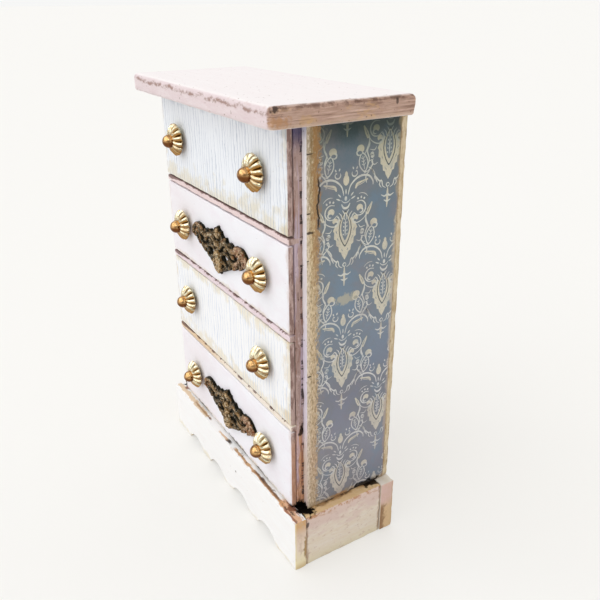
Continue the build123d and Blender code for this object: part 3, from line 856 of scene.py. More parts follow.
motif = palmette_motif()
levels = stack_levels(motif)
for hand, sign in (("left", -1), ("right", 1)):
    low, high = (to_mm(corner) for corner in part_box(f"side_paper_{hand}"))
    outer = high.x if sign > 0 else -low.x
    mesh = box_mesh(low, high)
    for vertex in mesh.verts:
        if abs(vertex.co.x) > outer - 0.01:
            vertex.co.x = sign * (outer - PRINT_ROOM)
    slice_up(mesh, low, high, 2.0)
    sheet_faces = set(mesh.faces)
    for level, (kind, outline) in zip(levels, motif):
        rise = outer - PRINT_ROOM + PRINT_LIFT + PRINT_DEPTH * level / max(levels)
        for column_y, column_z in COLUMNS:
            for across_step in (-1, 0, 1):
                for up_step in (-3, -2, -1, 0, 1):
                    middle = Vector((column_y + across_step * REPEAT_ACROSS, column_z + up_step * REPEAT_UP))
                    if not low.y - MOTIF_SIDE < middle.x < high.y + MOTIF_SIDE:
                        continue
                    if not low.z - MOTIF_HEAD < middle.y < high.z + MOTIF_FOOT:
                        continue
                    turned = counterclockwise(outline)[::sign]
                    corners = [mesh.verts.new((sign * rise, middle.x + p.x, middle.y + p.y)) for p in turned]
                    face = mesh.faces.new(corners)
                    face.material_index = kind
    for limit, normal in ((low, (0, -1, 0)), (low, (0, 0, -1)), (high, (0, 1, 0)), (high, (0, 0, 1))):
        printed = [face for face in mesh.faces if face not in sheet_faces]
        parts = printed + list({e for face in printed for e in face.edges})
        parts += list({v for face in printed for v in face.verts})
        bmesh.ops.bisect_plane(mesh, geom=parts, dist=1e-5, plane_co=limit, plane_no=normal, clear_outer=True)
    note_gaps(mesh, low, high)
    tones = (("ground", GROUND_LOOKS), ("cream", CREAM_LOOKS), ("pale", PALE_LOOKS), ("shade", SHADE_LOOKS))
    materials = [paper_finish(f"paper_{tone}_{hand}", looks, sign, tone == "ground") for tone, looks in tones]
    make_piece(f"printed_paper_{hand}", mesh, materials, "carcase", [f"side_paper_{hand}"])

# ---- plinth --------------------------------------------------------------------------
# A frame of four painted boards with glue blocks of bare wood in its corners, fixed under
# the carcase. The front board has four shallow arches sawn into its foot.
ARCHES = 4
ARCH_PITCH = 13.6
ARCH_WIDTH = 9.4
ARCH_RISE = 2.5
ARCH_STEPS = 12            # straight steps along one arch
END_LOOKS = (
    # height, colour on the ends of the front board
    (0.5, (206, 184, 138)),
    (2.2, (228, 216, 182)),
    (6, (222, 206, 188)),
    (10, (212, 188, 168)),
    (12.2, (204, 162, 112)),
)


def plinth_paint(name, base, light):
    """Lilac white with a cream foot and lightly rubbed edges."""
    finish = Finish(name, base, 0.6)
    brush_layer(finish, (0.15, 0.15, 1.2), colour(244, 240, 238, light), 0.5, 0.012)
    wash_side(finish, "bottom", 1.6, colour(242, 234, 212), 0.7)
    rub_edges(finish, 0.36, 0.4, colour(204, 176, 146), 0.6, 0.2)
    speckle(finish, BROWN, 0.7, 0.16, 0.16)
    return finish


low, high = (to_mm(corner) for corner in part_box("plinth_front"))
arch_radius = (ARCH_WIDTH**2 / 4 + ARCH_RISE**2) / (2 * ARCH_RISE)
outline = [(low.x, high.z), (low.x, low.z)]
for index in range(ARCHES):
    centre_x = (index - (ARCHES - 1) / 2) * ARCH_PITCH
    for step in range(ARCH_STEPS + 1):
        x = centre_x - ARCH_WIDTH / 2 + ARCH_WIDTH * step / ARCH_STEPS
        drop = math.sqrt(max(arch_radius**2 - (x - centre_x) ** 2, 0))
        outline.append((x, low.z + max(ARCH_RISE - arch_radius + drop, 0.0)))
outline += [(high.x, low.z), (high.x, high.z)]
mesh = bmesh.new()
front_face = mesh.faces.new([mesh.verts.new((x, low.y, z)) for x, z in outline])
extruded = bmesh.ops.extrude_face_region(mesh, geom=[front_face])
for item in extruded["geom"]:
    if isinstance(item, bmesh.types.BMVert):
        item.co.y = high.y
bmesh.ops.recalc_face_normals(mesh, faces=mesh.faces[:])
round_edges(mesh, lambda edge: edge.calc_face_angle(0.0) > math.radians(50), 0.2, 3)
slice_up(mesh, low, high, 1.0)
weather(mesh, low, high, 0.22, 0.05, 31)
note_gaps(mesh, low, high)
finish = plinth_paint("plinth_front_paint", colour(249, 250, 251, FRONT_LIGHT), FRONT_LIGHT)
# golden brown is smeared along the ledge, broad at the left end and broken by dark blots
ledge = product(fade(finish.facing_z, 0.25, 0.7), fade(finish.z, 8.0, 12.0))
stir = fade(cloud(stretch(finish.mm, (0.6, 1, 1)), 0.9, 4, 0.65), 0.25, 0.75, -0.5, 0.5)
for start, end, away, half, shade, strength in (
    # from, to, distance behind the front face, half width, colour, strength
    (-33.6, -12.0, 0.9, 0.8, (218, 190, 152), 0.85),
    (-22.0, -10.5, 1.0, 0.35, (160, 118, 72), 0.8),
    (-13.5, -10.5, 1.0, 0.3, (104, 66, 40), 0.8),
    (-6.0, 1.5, 0.8, 0.35, (214, 170, 120), 0.8),
    (-1.6, 1.8, 0.9, 0.5, (40, 26, 18), 0.95),
    (2.6, 28.5, 0.85, 0.45, (190, 142, 84), 0.9),
    (13.0, 29.5, 1.05, 0.4, (104, 64, 34), 0.75),
    (25.0, 36.0, 1.3, 1.2, (222, 168, 120), 0.85),
    (27.5, 36.0, 0.5, 0.3, (140, 70, 36), 0.75),
    (26.0, 33.0, 2.2, 0.3, (150, 84, 48), 0.75),
):
    off_line = calc("ABSOLUTE", calc("SUBTRACT", finish.gap["front"], away))
    off_line = calc("ADD", calc("DIVIDE", off_line, half), stir)
    span = product(fade(finish.x, start, start + 1.5), fade(finish.x, end, end - 1.5))
    finish.lay(product(ledge, span, fade(off_line, 1.0, 0.6)), colour(*shade, FRONT_LIGHT), strength)
blots = fade(cloud(stretch(finish.mm, (0.55, 1, 1)), 0.8, 4, 0.7), 0.54, 0.6)
mid_ledge = product(fade(finish.gap["front"], 0.4, 0.8), fade(finish.gap["front"], 1.9, 1.4))
finish.lay(product(ledge, blots, fade(finish.x, 3.0, 8.0), mid_ledge), colour(70, 42, 28), 0.85)
ends = fade(finish.facing_x, 0.55, 0.85)
finish.lay(ends, by_height(finish, END_LOOKS))
end_stir = cloud(stretch(finish.mm, (1, 1, 0.5)), 0.9, 4, 0.65)
finish.lay(product(ends, fade(end_stir, 0.5, 0.62)), colour(196, 172, 150, SIDE_LIGHT), 0.6)
pale_arris = product(ends, fade(finish.gap["front"], 0.6, 0.1))
finish.lay(pale_arris, colour(226, 214, 166, SIDE_LIGHT), 0.7)
for sign in (-1, 1):
    spot(finish, (sign * 33.8, -8.75, 5.0), 0.95, colour(160, 128, 78, SIDE_LIGHT), 0.95, (1, 1.1, 0.26))
    spot(finish, (sign * 33.8, -8.6, 11.2), 0.5, colour(54, 38, 28, SIDE_LIGHT), 0.9, (1, 1.2, 0.5))
    spot(finish, (sign * 29.2, -9.8, 13.5), 1.1, colour(122, 66, 36), 0.9, (0.8, 1, 1))
    # painted shade with black dirt: the pocket at the front corner over the plinth
    spot(finish, (sign * 31.2, -8.6, 13.5), 1.3, BLACK_STAIN_AND_SHADE, 1.0)
spot(finish, (4.9, low.y, 7.7), 0.3, DARK_BROWN, 0.9)
node = "plinth_front"
even_normals(make_piece(f"worn_{node}", mesh, [finish.done()], "carcase", [node]))

for hand, sign in (("left", -1), ("right", 1)):
    finish = plinth_paint(f"plinth_{hand}_paint", colour(218, 204, 184, SIDE_LIGHT), SIDE_LIGHT)
    wash = use(brushed, Position=stretch(finish.mm, (1, 0.2, 0.9)))
    finish.lay(wash, colour(206, 188, 164, SIDE_LIGHT), 0.5)
    blush = fade(cloud(stretch(finish.mm, (1, 0.5, 1)), 0.3, 4, 0.65), 0.25, 0.75, -3.0, 3.0)
    from_top = calc("ADD", finish.gap["top"], blush)
    finish.lay(fade(from_top, 7.0, 2.0), colour(206, 180, 172, SIDE_LIGHT), 0.75)
    finish.lay(fade(finish.gap["bottom"], 4.0, 0.5), colour(218, 208, 180, SIDE_LIGHT), 0.6)
    blotched = cloud(stretch(finish.mm, (1, 0.6, 1)), 1.1, 4, 0.7)
    finish.lay(fade(blotched, 0.56, 0.66), colour(182, 150, 132, SIDE_LIGHT), 0.45)
    rubbed = product(fade(finish.gap["top"], 1.9, 0.5), fade(blotched, 0.46, 0.54))
    finish.lay(rubbed, colour(178, 124, 76, SIDE_LIGHT), 0.85)
    joint = fade(cloud(stretch(finish.mm, (1, 1, 0.4)), 0.7, 4, 0.7), 0.25, 0.75, -0.6, 0.6)
    for side in ("front", "back"):
        near_joint = calc("ADD", calc("DIVIDE", finish.gap[side], 0.7), joint)
        finish.lay(fade(near_joint, 1.0, 0.2), colour(140, 100, 62, SIDE_LIGHT), 0.7)
    # the ledge is golden; brown has gathered along the paper
    top_face = fade(finish.facing_z, 0.4, 0.8)
    finish.lay(top_face, colour(216, 184, 136), 0.9)
    inner = finish.gap["left" if sign > 0 else "right"]
    blot = fade(cloud(stretch(finish.mm, (1, 0.5, 1)), 0.5, 4, 0.65), 0.25, 0.75, -0.7, 0.7)
    gathered = fade(calc("ADD", inner, blot), 1.6, 0.9)
    finish.lay(product(top_face, gathered), colour(156, 112, 66), 0.8)
    along_paper = fade(cloud(stretch(finish.mm, (0, 1, 0)), 0.4, 4, 0.65), 0.42, 0.56)
    blackened = fade(calc("ADD", inner, blot), 1.1, 0.6)
    finish.lay(product(top_face, blackened, along_paper), colour(52, 36, 26), 0.9)
    spot(finish, (sign * 31.5, 10.5, 13.4), 1.3, BLACK_STAIN_AND_SHADE, 0.95, (1, 0.42, 1))
    # painted shade with black dirt: the pocket at the front corner over the plinth
    spot(finish, (sign * 31.4, -7.5, 13.5), 2.0, BLACK_STAIN_AND_SHADE, 1.0, (0.9, 0.75, 1.6))
    spot(finish, (sign * 33.4, -8.3, 11.4), 0.5, colour(60, 42, 32, SIDE_LIGHT), 0.85, (1, 1.4, 0.5))
    worn_board(f"plinth_side_{hand}", finish.done(), "carcase", 34 + sign, 0.18, 0.12, 0.04)

finish = plinth_paint("plinth_back_paint", colour(214, 202, 182, FRONT_LIGHT), FRONT_LIGHT)
ends = fade(finish.facing_x, 0.55, 0.85)
end_grain = use(grained, Position=stretch(finish.mm, (0.8, 1.1, 0.35)))
tan, lilac = colour(206, 176, 134, SIDE_LIGHT), colour(208, 176, 170, SIDE_LIGHT)
finish.lay(ends, tint(fade(finish.z, 6.0, 9.0), tan, lilac))
finish.lay(product(ends, end_grain), colour(188, 158, 122, SIDE_LIGHT), 0.5)
joint_stir = fade(cloud(finish.mm, 0.8, 4, 0.65), 0.25, 0.75, -0.8, 0.8)
low_joint = calc("ADD", finish.gap["front"], joint_stir)
low_joint = product(fade(low_joint, 1.8, 0.6), fade(finish.z, 8.5, 6.5))
finish.lay(product(ends, low_joint), colour(128, 88, 52, SIDE_LIGHT), 0.85)
finish.lay(product(ends, fade(finish.gap["back"], 0.8, 0.1)), colour(182, 150, 110, SIDE_LIGHT), 0.6)
worn_board("plinth_back", finish.done(), "carcase", 38, 0.22, 0.16, 0.05)

wood_upright = bare_wood("bare_wood_upright", (1.0, 1.0, 0.1), colour(214, 186, 148), colour(180, 144, 102))
# painted shade: the glue blocks are black where they show through the pocket at each front corner
for sign in (-1, 1):
    spot(wood_upright, (sign * 29.8, -8.2, 13.5), 3.2, BLACK_STAIN_AND_SHADE, 1.0)
show_in(wood_upright.done(0.5), ("plinth_corner_blocks",))

# ---- top board -----------------------------------------------------------------------
# One thick board glued over everything, with rounded front corners and edges: near white
# above, dusty pink along the front, mauve-brown at the ends, with a nick at its near corner.
TOP_LIGHT = 1.15           # strength of the light on the faces that look upwards
CORNER_ROUND = 1.5         # radius of the front corners, and then of the edges
UPPER_ROUND = 1.05
LOWER_ROUND = 0.65
NICK_REACH = 1.5

low, high = (to_mm(corner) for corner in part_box("top_board"))
mesh = box_mesh(low, high)
middle_y = (low.y + high.y) / 2

def is_front_corner(edge):
    """Whether an edge stands upright at one of the two front corners."""
    foot, head = (vertex.co for vertex in edge.verts)
    return abs(foot.z - head.z) > 1 and foot.y < middle_y


round_edges(mesh, is_front_corner, CORNER_ROUND, 4)
round_edges(mesh, lambda edge: all(abs(v.co.z - high.z) < 1e-4 for v in edge.verts), UPPER_ROUND, 4)
round_edges(mesh, lambda edge: all(abs(v.co.z - low.z) < 1e-4 for v in edge.verts), LOWER_ROUND, 3)
slice_up(mesh, low, high, 1.0)
weather(mesh, low, high, 0.34, 0.09, 1)
nick_at = Vector((high.x, low.y + 1.5, high.z - 0.6))
for vertex in mesh.verts:
    away = (vertex.co - nick_at).length
    if away < NICK_REACH:
        vertex.co += Vector((-0.5, 0.3, -0.35)) * (1 - away / NICK_REACH)
note_gaps(mesh, low, high)

finish = Finish("top_paint", colour(254, 249, 249, TOP_LIGHT), 0.55)
brush_layer(finish, (0.14, 1.2, 1.2), colour(248, 238, 238, TOP_LIGHT), 0.5, 0.012)
front_mask = fade(finish.facing_y, 0.45, 0.85)
finish.lay(front_mask, colour(233, 220, 222, FRONT_LIGHT))
front_streaks = use(brushed, Position=stretch(finish.mm, (0.3, 1, 1.6)))
finish.lay(product(front_mask, front_streaks), colour(212, 186, 190, FRONT_LIGHT), 0.55)
side_mask = fade(finish.facing_x, 0.3, 0.8)
finish.lay(side_mask, colour(184, 154, 138, SIDE_LIGHT))
side_streaks = use(brushed, Position=stretch(finish.mm, (1, 0.25, 1.1)))
finish.lay(product(side_mask, side_streaks), colour(150, 114, 96, SIDE_LIGHT), 0.6)
end_fibres = cloud(stretch(finish.mm, (1, 0.09, 2.4)), 1.0, 5, 0.7)
finish.lay(product(side_mask, fade(end_fibres, 0.53, 0.6)), colour(108, 76, 60, SIDE_LIGHT), 0.6)
finish.lay(product(side_mask, fade(end_fibres, 0.46, 0.38)), colour(212, 184, 170, SIDE_LIGHT), 0.6)
smudges = fade(cloud(stretch(finish.mm, (1, 0.5, 1)), 0.5, 4, 0.7), 0.52, 0.66)
finish.lay(product(side_mask, smudges), colour(196, 158, 112, SIDE_LIGHT), 0.6)
side_low = product(side_mask, fade(finish.gap["bottom"], 1.1, 0.2))
finish.lay(side_low, colour(206, 182, 160, SIDE_LIGHT), 0.55)
# a broken brown line where the front edge has been knocked, half way up it
line_height = fade(cloud(stretch(finish.mm, (1, 0, 0)), 0.25, 3), 0.3, 0.7, 2.45, 3.15)
line_away = calc("ABSOLUTE", calc("SUBTRACT", finish.gap["bottom"], line_height))
line_breaks = fade(cloud(stretch(finish.mm, (0.5, 1, 1)), 0.9, 4, 0.7), 0.4, 0.56)
line = product(front_mask, fade(line_away, 0.6, 0.1), line_breaks)
finish.lay(line, colour(150, 112, 98, FRONT_LIGHT), 0.85)
rub_edges(finish, 0.8, 0.4, colour(205, 180, 172), 0.5, 0.3)
for sign in (-1, 1):
    spot(finish, (sign * 33.0, -13.4, 97.4), 1.2, colour(166, 118, 68, SIDE_LIGHT), 0.6, (1, 0.45, 1.1))
knocks = fade(cloud(finish.mm, 0.6, 4, 0.7), 0.45, 0.6)
upper_edge = product(side_mask, fade(finish.gap["top"], 1.3, 0.4), knocks)
finish.lay(upper_edge, colour(92, 62, 46, SIDE_LIGHT), 0.85)
speckle(finish, BROWN, 0.75, 0.2, 0.3)
corner = (high.x - 0.2, low.y + 1.4, high.z - 0.8)
spot(finish, corner, 1.1, DARK_BROWN, 0.95, (1, 0.8, 1.5))
spot(finish, (high.x, low.y + 2.2, low.z + 1.2), 1.5, colour(178, 134, 96, SIDE_LIGHT), 0.5)
spot(finish, (high.x, low.y + 7.0, low.z + 1.4), 1.2, colour(186, 148, 98, SIDE_LIGHT), 0.4, (1, 0.5, 1.2))
spot(finish, (high.x, 11.0, high.z - 0.9), 0.5, DARK_BROWN, 0.8, (1, 1.4, 0.7))
node = "top_board"
even_normals(make_piece(f"worn_{node}", mesh, [finish.done()], "carcase", [node]))

# ---- drawer boxes --------------------------------------------------------------------
# Four open boxes of bare wood, glued up from two sides, a back and a thin bottom. They
# slide on the dividers and on the carcase bottom, wood on wood.
wood_deep = bare_wood(
    "bare_wood_deep", (1.0, 0.1, 1.0), colour(224, 200, 164), colour(196, 162, 120)
).done(0.5)
for number in (1, 2, 3, 4):
    show_in(wood_across, (f"drawer_{number}_back", f"drawer_{number}_bottom"))
    show_in(wood_deep, (f"drawer_{number}_side_left", f"drawer_{number}_side_right"))

# ---- drawer fronts -------------------------------------------------------------------
# Four painted boards glued over the boxes, drawer 1 at the top. The first and third are a
# cold white with fine upright cracks and ochre washes; the others are a brushed lilac white.
OCHRE = colour(226, 204, 160)
FRONT_LOOKS = {
    # paint, brush streaks, cracks, stains and painted shade (side, reach, shade, strength), width of the worn
    # edge
    1: (
        colour(244, 248, 254, FRONT_LIGHT),
        colour(234, 239, 246, FRONT_LIGHT),
        colour(138, 150, 176),
        (
            ("bottom", 4.6, colour(240, 228, 200), 0.75),
            ("right", 2.4, colour(236, 224, 200), 0.55),
            ("left", 1.0, OCHRE, 0.4),
            # a grey wash with painted shade: the shadow of the top board's overhang
            ("top", 2.2, colour(206, 210, 218), 0.6),
        ),
        0.3,
    ),
    2: (
        colour(246, 247, 252, FRONT_LIGHT),
        colour(242, 241, 250, FRONT_LIGHT),
        None,
        (
            ("bottom", 1.0, OCHRE, 0.6),
            ("right", 1.2, colour(226, 210, 202), 0.7),
            ("left", 1.0, OCHRE, 0.4),
        ),
        0.36,
    ),
    3: (
        colour(251, 252, 255, FRONT_LIGHT),
        colour(242, 244, 248, FRONT_LIGHT),
        colour(170, 186, 216),
        (
            ("top", 2.4, colour(240, 228, 200), 0.75),
            ("bottom", 3.4, colour(240, 228, 200), 0.7),
            ("right", 2.8, colour(236, 222, 196), 0.65),
            ("left", 1.0, OCHRE, 0.5),
        ),
        0.3,
    ),
    4: (
        colour(246, 246, 252, FRONT_LIGHT),
        colour(241, 240, 249, FRONT_LIGHT),
        None,
        (("bottom", 1.1, OCHRE, 0.7), ("right", 1.0, colour(226, 210, 202), 0.6)),
        0.34,
    ),
}

# Fine upright cracks in a brittle top coat, read straight through the board's thickness.
# They run about a millimetre apart, sway gently together, and come and go along their length.
crackled, take, give = new_group("crackled", {"Position": VECTOR_IN}, {"Mask": "Float"})
sway = fade(cloud(stretch(take["Position"], (0.2, 0.0, 0.09)), 1.0, 2), 0.25, 0.75, -0.45, 0.45)
wobble = fade(cloud(stretch(take["Position"], (0.9, 0.0, 0.5)), 1.0, 2), 0.25, 0.75, -0.13, 0.13)
swayed = calc("ADD", axes(take["Position"])[0], calc("ADD", sway, wobble))
lines = None
for spacing, reach, weight in ((1.3, 0.15, 1.0), (0.7, 0.1, 0.4)):
    cells = put(
        crackled,
        "TexVoronoi",
        {"W": calc("DIVIDE", swayed, spacing), "Scale": 1.0, "Randomness": 0.75},
        feature="DISTANCE_TO_EDGE",
        voronoi_dimensions="1D",
    )
    line = fade(cells.outputs["Distance"], reach / spacing, 0.25 * reach / spacing)
    breaks = cloud(stretch(take["Position"], (1.3 / spacing, 0.0, 0.08)), 1.0, 3, 0.55)
    line = product(line, fade(breaks, 0.3, 0.55, 0.15, 1.0), weight)
    lines = line if lines is None else calc("MAXIMUM", lines, line)
crackle_patch = fade(cloud(take["Position"], 0.13, 3), 0.32, 0.6, 0.45, 1.0)
crackled.links.new(product(lines, crackle_patch), give["Mask"])


def front_finish(name, paint, streak_shade, crack_shade, stains, wear):
    """A drawer front: a painted face, stains and painted shade from its sides, and rubbed edges."""
    finish = Finish(name, paint, 0.62)
    along = (0.14, 1.2, 1.3) if crack_shade is None else (0.9, 1.2, 0.08)
    brush_layer(finish, along, streak_shade, 0.3, 0.012)
    for side, reach, shade, strength in stains:
        wash_side(finish, side, reach, shade, strength)
    if crack_shade:
        cracks = use(crackled, Position=finish.mm)
        finish.lay(cracks, crack_shade, 0.65)
        finish.raise_by(cracks, -0.02)
    else:
        blush = fade(cloud(stretch(finish.mm, (0.6, 1, 1)), 0.18, 5, 0.65), 0.38, 0.66)
        finish.lay(blush, colour(238, 228, 236, FRONT_LIGHT), 0.4)
        finish.lay(fade(finish.x, 4.0, -24.0), colour(238, 229, 232, FRONT_LIGHT), 0.4)
    speckle(finish, BROWN, 0.6, 0.14, 0.12)
    rub_edges(finish, wear, 0.32, colour(206, 184, 168), 0.7, 0.15)
    mauve_ends(finish)
    return finish


for number, (paint, streak_shade, crack_shade, stains, wear) in FRONT_LOOKS.items():
    node = f"drawer_{number}_front"
    finish = front_finish(f"front_{number}_paint", paint, streak_shade, crack_shade, stains, wear)
    low, high = (to_mm(corner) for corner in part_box(node))
    if number == 4:
        # painted shade with black dirt: the pocket at the front corner over the plinth
        spot(finish, (29.4, low.y, low.z), 1.3, BLACK_STAIN_AND_SHADE, 1.0)
        for x, reach in ((2.0, 0.9), (15.0, 0.8), (-17.0, 0.8)):
            spot(finish, (x, low.y, low.z), reach, DARK_BROWN, 0.8, (0.14, 1, 1))
    worn_board(node, finish.done(), f"drawer_{number}", 2 + number, 0.24, 0.1, 0.03)

# ---- knobs ---------------------------------------------------------------------------
# Two on each drawer: a pressed and gilded brass cap with fourteen flutes, like a little
# parasol, and a turned pin with a ball head that holds it through the drawer front.
FLUTES = 14
STEPS_PER_FLUTE = 12
BALL_RADIUS = 1.5
BALL_DROP = 0.22           # the ball sits this much below the middle of its cap
BALL_STEPS = 24            # steps over the half circle; the last two are inside the shank
SHANK_RADIUS = 0.45
HEAD_HEIGHT = 0.3          # of the clenched head inside the drawer
CAP_PROFILE = (
    # radius, height over the drawer front, flute depth
    (1.5, 2.66, 0.0),
    (1.8, 2.68, 0.08),
    (2.15, 2.62, 0.2),
    (2.6, 2.42, 0.34),
    (3.0, 2.16, 0.44),
    (3.35, 1.88, 0.5),
    (3.62, 1.6, 0.52),
    (3.74, 1.32, 0.48),
    (3.62, 1.08, 0.42),
    (3.2, 0.86, 0.34),
    (2.5, 0.5, 0.2),
    (1.8, 0.04, 0.06),
)


def gilt(name, bright, tarnished, under, turn, roughness, waves, sideways=0.0):
    """Old gilding: pale on the crests, browner underneath with painted shade, tarnished in clouds, faintly
    dented.
    """
    finish = Finish(name, bright, 0.2, 1.0)
    tarnish = fade(cloud(finish.mm, 1.3, 4, 0.65), 0.42, 0.66)
    finish.lay(tarnish, tarnished, 0.7)
    to_right, _, upwards = axes(put(finish.tree, "TexCoord").outputs["Normal"])
    # painted shade: faces that look down take the under colour, and with sideways also faces that look left
    finish.lay(fade(upwards, *turn), under, 0.95)
    if sideways:
        finish.lay(fade(to_right, 0.55, -0.25), under, sideways)
    # painted shade, with tarnish, in the flute valleys on the lower half of the cap: old gold deepening to
    # near black
    valleys = put(finish.tree, "Attribute", attribute_name="valley").outputs["Fac"]
    downwards = fade(upwards, 0.5, -0.2, 0.4, 1.0)
    finish.lay(product(downwards, fade(valleys, 0.2, 0.55)), tarnished, 0.95)
    finish.lay(product(downwards, fade(valleys, 0.5, 0.85)), colour(52, 34, 12), 0.95)
    finish.raise_by(cloud(finish.mm, waves, 2), 0.05)
    rubbed = fade(cloud(finish.mm, 3.2, 3, 0.6), 0.3, 0.8, *roughness)
    finish.tree.links.new(rubbed, finish.shader.inputs["Roughness"])
    return finish.done(0.7)


# the third colour of each is painted shade, for the faces that look down
PALE_GOLD, OLD_GOLD, SHADED_GOLD = colour(254, 244, 214), colour(184, 138, 74), colour(160, 116, 56)
BALL_GOLD, BALL_BROWN, SHADED_BALL_BROWN = colour(234, 190, 130), colour(142, 92, 48), colour(104, 58, 26)
cap_brass = gilt("gilt_cap", PALE_GOLD, OLD_GOLD, SHADED_GOLD, (0.4, -0.2), (0.08, 0.2), 1.6)
ball_brass = gilt("gilt_ball", BALL_GOLD, BALL_BROWN, SHADED_BALL_BROWN, (0.45, -0.2), (0.05, 0.12), 0.8, 0.55)


def spin_round(mesh, outline, centre, steps):
    """Spin an outline of points round an axis along Y through the centre, and close both ends."""
    edges = [mesh.edges.new(pair) for pair in zip(outline, outline[1:])]
    bmesh.ops.spin(
        mesh,
        geom=outline + edges,
        cent=(centre[0], 0, centre[1]),
        axis=(0, -1, 0),
        angle=2 * math.pi,
        steps=steps,
        use_merge=True,
    )
    bmesh.ops.holes_fill(mesh, edges=[edge for edge in mesh.edges if edge.is_boundary], sides=0)


def fluted_cap(mesh, centre, front_y, turn):
    """One cap: a spun bowl drawn in between its flutes to rounded ribs and sharp valleys."""
    depths = mesh.verts.layers.float["depth"]
    valleys = mesh.verts.layers.float["valley"]
    others = set(mesh.verts)
    outline = []
    for radius, rise, depth in CAP_PROFILE:
        x, z = centre[0] + radius * math.cos(turn), centre[1] + radius * math.sin(turn)
        point = mesh.verts.new((x, front_y - rise, z))
        point[depths] = depth
        outline.append(point)
    spin_round(mesh, outline, centre, FLUTES * STEPS_PER_FLUTE)
    for point in set(mesh.verts) - others:
        right, up = point.co.x - centre[0], point.co.z - centre[1]
        valley = (1 - abs(math.sin(math.atan2(up, right) * FLUTES / 2))) ** 1.1
        sunk = point[depths] * valley
        drawn_in = 1 - 0.85 * sunk / math.hypot(right, up)
        rise = max(front_y - point.co.y - 0.9 * sunk, 0.01)
        point.co = (centre[0] + right * drawn_in, front_y - rise, centre[1] + up * drawn_in)
        point[valleys] = valley * min(point[depths] / 0.4, 1.0)


def ball_pin(mesh, centre, ball_y, end_y):
    """One pin: a ball, a straight shank through the front, and a small clenched head inside."""
    profile = []
    for step in range(BALL_STEPS - 2):
        angle = math.pi * step / BALL_STEPS
        radius = max(BALL_RADIUS * math.sin(angle), 0.02)
        profile.append((radius, ball_y - BALL_RADIUS * math.cos(angle)))
    profile += [(SHANK_RADIUS, ball_y + BALL_RADIUS), (SHANK_RADIUS, end_y - HEAD_HEIGHT)]
    profile += [(0.85, end_y - HEAD_HEIGHT), (1.0, end_y - 0.2), (0.95, end_y - 0.02), (0.5, end_y)]
    outline = [mesh.verts.new((centre[0] + radius, y, centre[1])) for radius, y in profile]
    spin_round(mesh, outline, centre, 40)


for number in (1, 2, 3, 4):
    pins, caps = f"drawer_{number}_knob_pins", f"drawer_{number}_knob_caps"
    low, high = (to_mm(corner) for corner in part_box(pins))
    level_z = (low.z + high.z) / 2
    front_y = to_mm(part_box(f"drawer_{number}_front")[0]).y
    knob_x = high.x - BALL_RADIUS
    cap_mesh, pin_mesh = bmesh.new(), bmesh.new()
    for layer in ("depth", "valley"):
        cap_mesh.verts.layers.float.new(layer)
    for side, x in enumerate((-knob_x, knob_x)):
        fluted_cap(cap_mesh, (x, level_z), front_y, 0.1 * number + 0.17 * side)
        ball_pin(pin_mesh, (x, level_z - BALL_DROP), low.y + BALL_RADIUS, high.y)
    for mesh in (cap_mesh, pin_mesh):
        bmesh.ops.recalc_face_normals(mesh, faces=mesh.faces[:])
    cap_mesh.verts.layers.float.remove(cap_mesh.verts.layers.float["depth"])
    make_piece(f"fluted_caps_{number}", cap_mesh, [cap_brass], f"drawer_{number}", [caps], 50)
    make_piece(f"ball_pins_{number}", pin_mesh, [ball_brass], f"drawer_{number}", [pins], 50)

# ---- filigrees -----------------------------------------------------------------------
# A pierced stamping of old dark bronze on drawers 2 and 4, glued to the front between the
# knobs: scrolls, small leaves and a domed middle leaf, with rust, pale crests of rubbed metal
# and painted highlight, and low parts near black with dirt and painted shade.
# Its relief is the highest of many rounded strokes and domes, over a fine grid of points.
GRID_STEP = 0.14
GRID_FOOT = 0.03           # the grid starts this much above the stamping's lowest point
THINNEST = 0.3             # relief below this is pierced
PLATE = 0.35               # least height of the plate itself
DIRT = 0.42                # height of the old dirt that fills its narrow gaps
UPPER_SCROLL = ((0.9, 1.0), (2.6, 2.5), (4.6, 2.6), (6.4, 1.9), (8.0, 2.2))
UPPER_SCROLL += ((9.8, 3.2), (11.6, 3.1), (13.0, 2.0), (13.2, 0.9))
LOWER_SCROLL = ((1.2, -0.6), (3.0, 0.4), (5.0, 0.1), (6.6, -0.8), (8.2, -0.6))
LOWER_SCROLL += ((9.6, 0.3), (10.4, 1.5), (9.8, 2.2), (9.0, 1.7))
SCROLLS = (
    # path on the right-hand side, half width, height
    (UPPER_SCROLL, 0.62, 1.15),
    (((13.2, 0.9), (12.4, 0.35), (11.6, 0.8), (11.9, 1.6)), 0.5, 1.0),
    (LOWER_SCROLL, 0.5, 1.0),
    (((1.0, -2.4), (2.8, -2.0), (4.6, -2.6), (5.8, -2.0), (5.6, -1.1), (4.8, -1.1)), 0.5, 1.0),
    (((0.8, -4.2), (2.0, -3.9), (3.3, -3.0)), 0.5, 0.95),
    (((1.4, 4.2), (2.6, 3.4), (3.9, 3.7)), 0.45, 0.95),
    (((6.6, -0.8), (7.6, -1.7), (8.8, -1.1)), 0.42, 0.9),
    (((9.6, 0.3), (10.8, -0.5), (11.6, 0.1)), 0.4, 0.85),
    (((5.0, 2.6), (5.8, 3.2), (6.8, 3.0), (6.9, 2.3)), 0.4, 0.9),
)
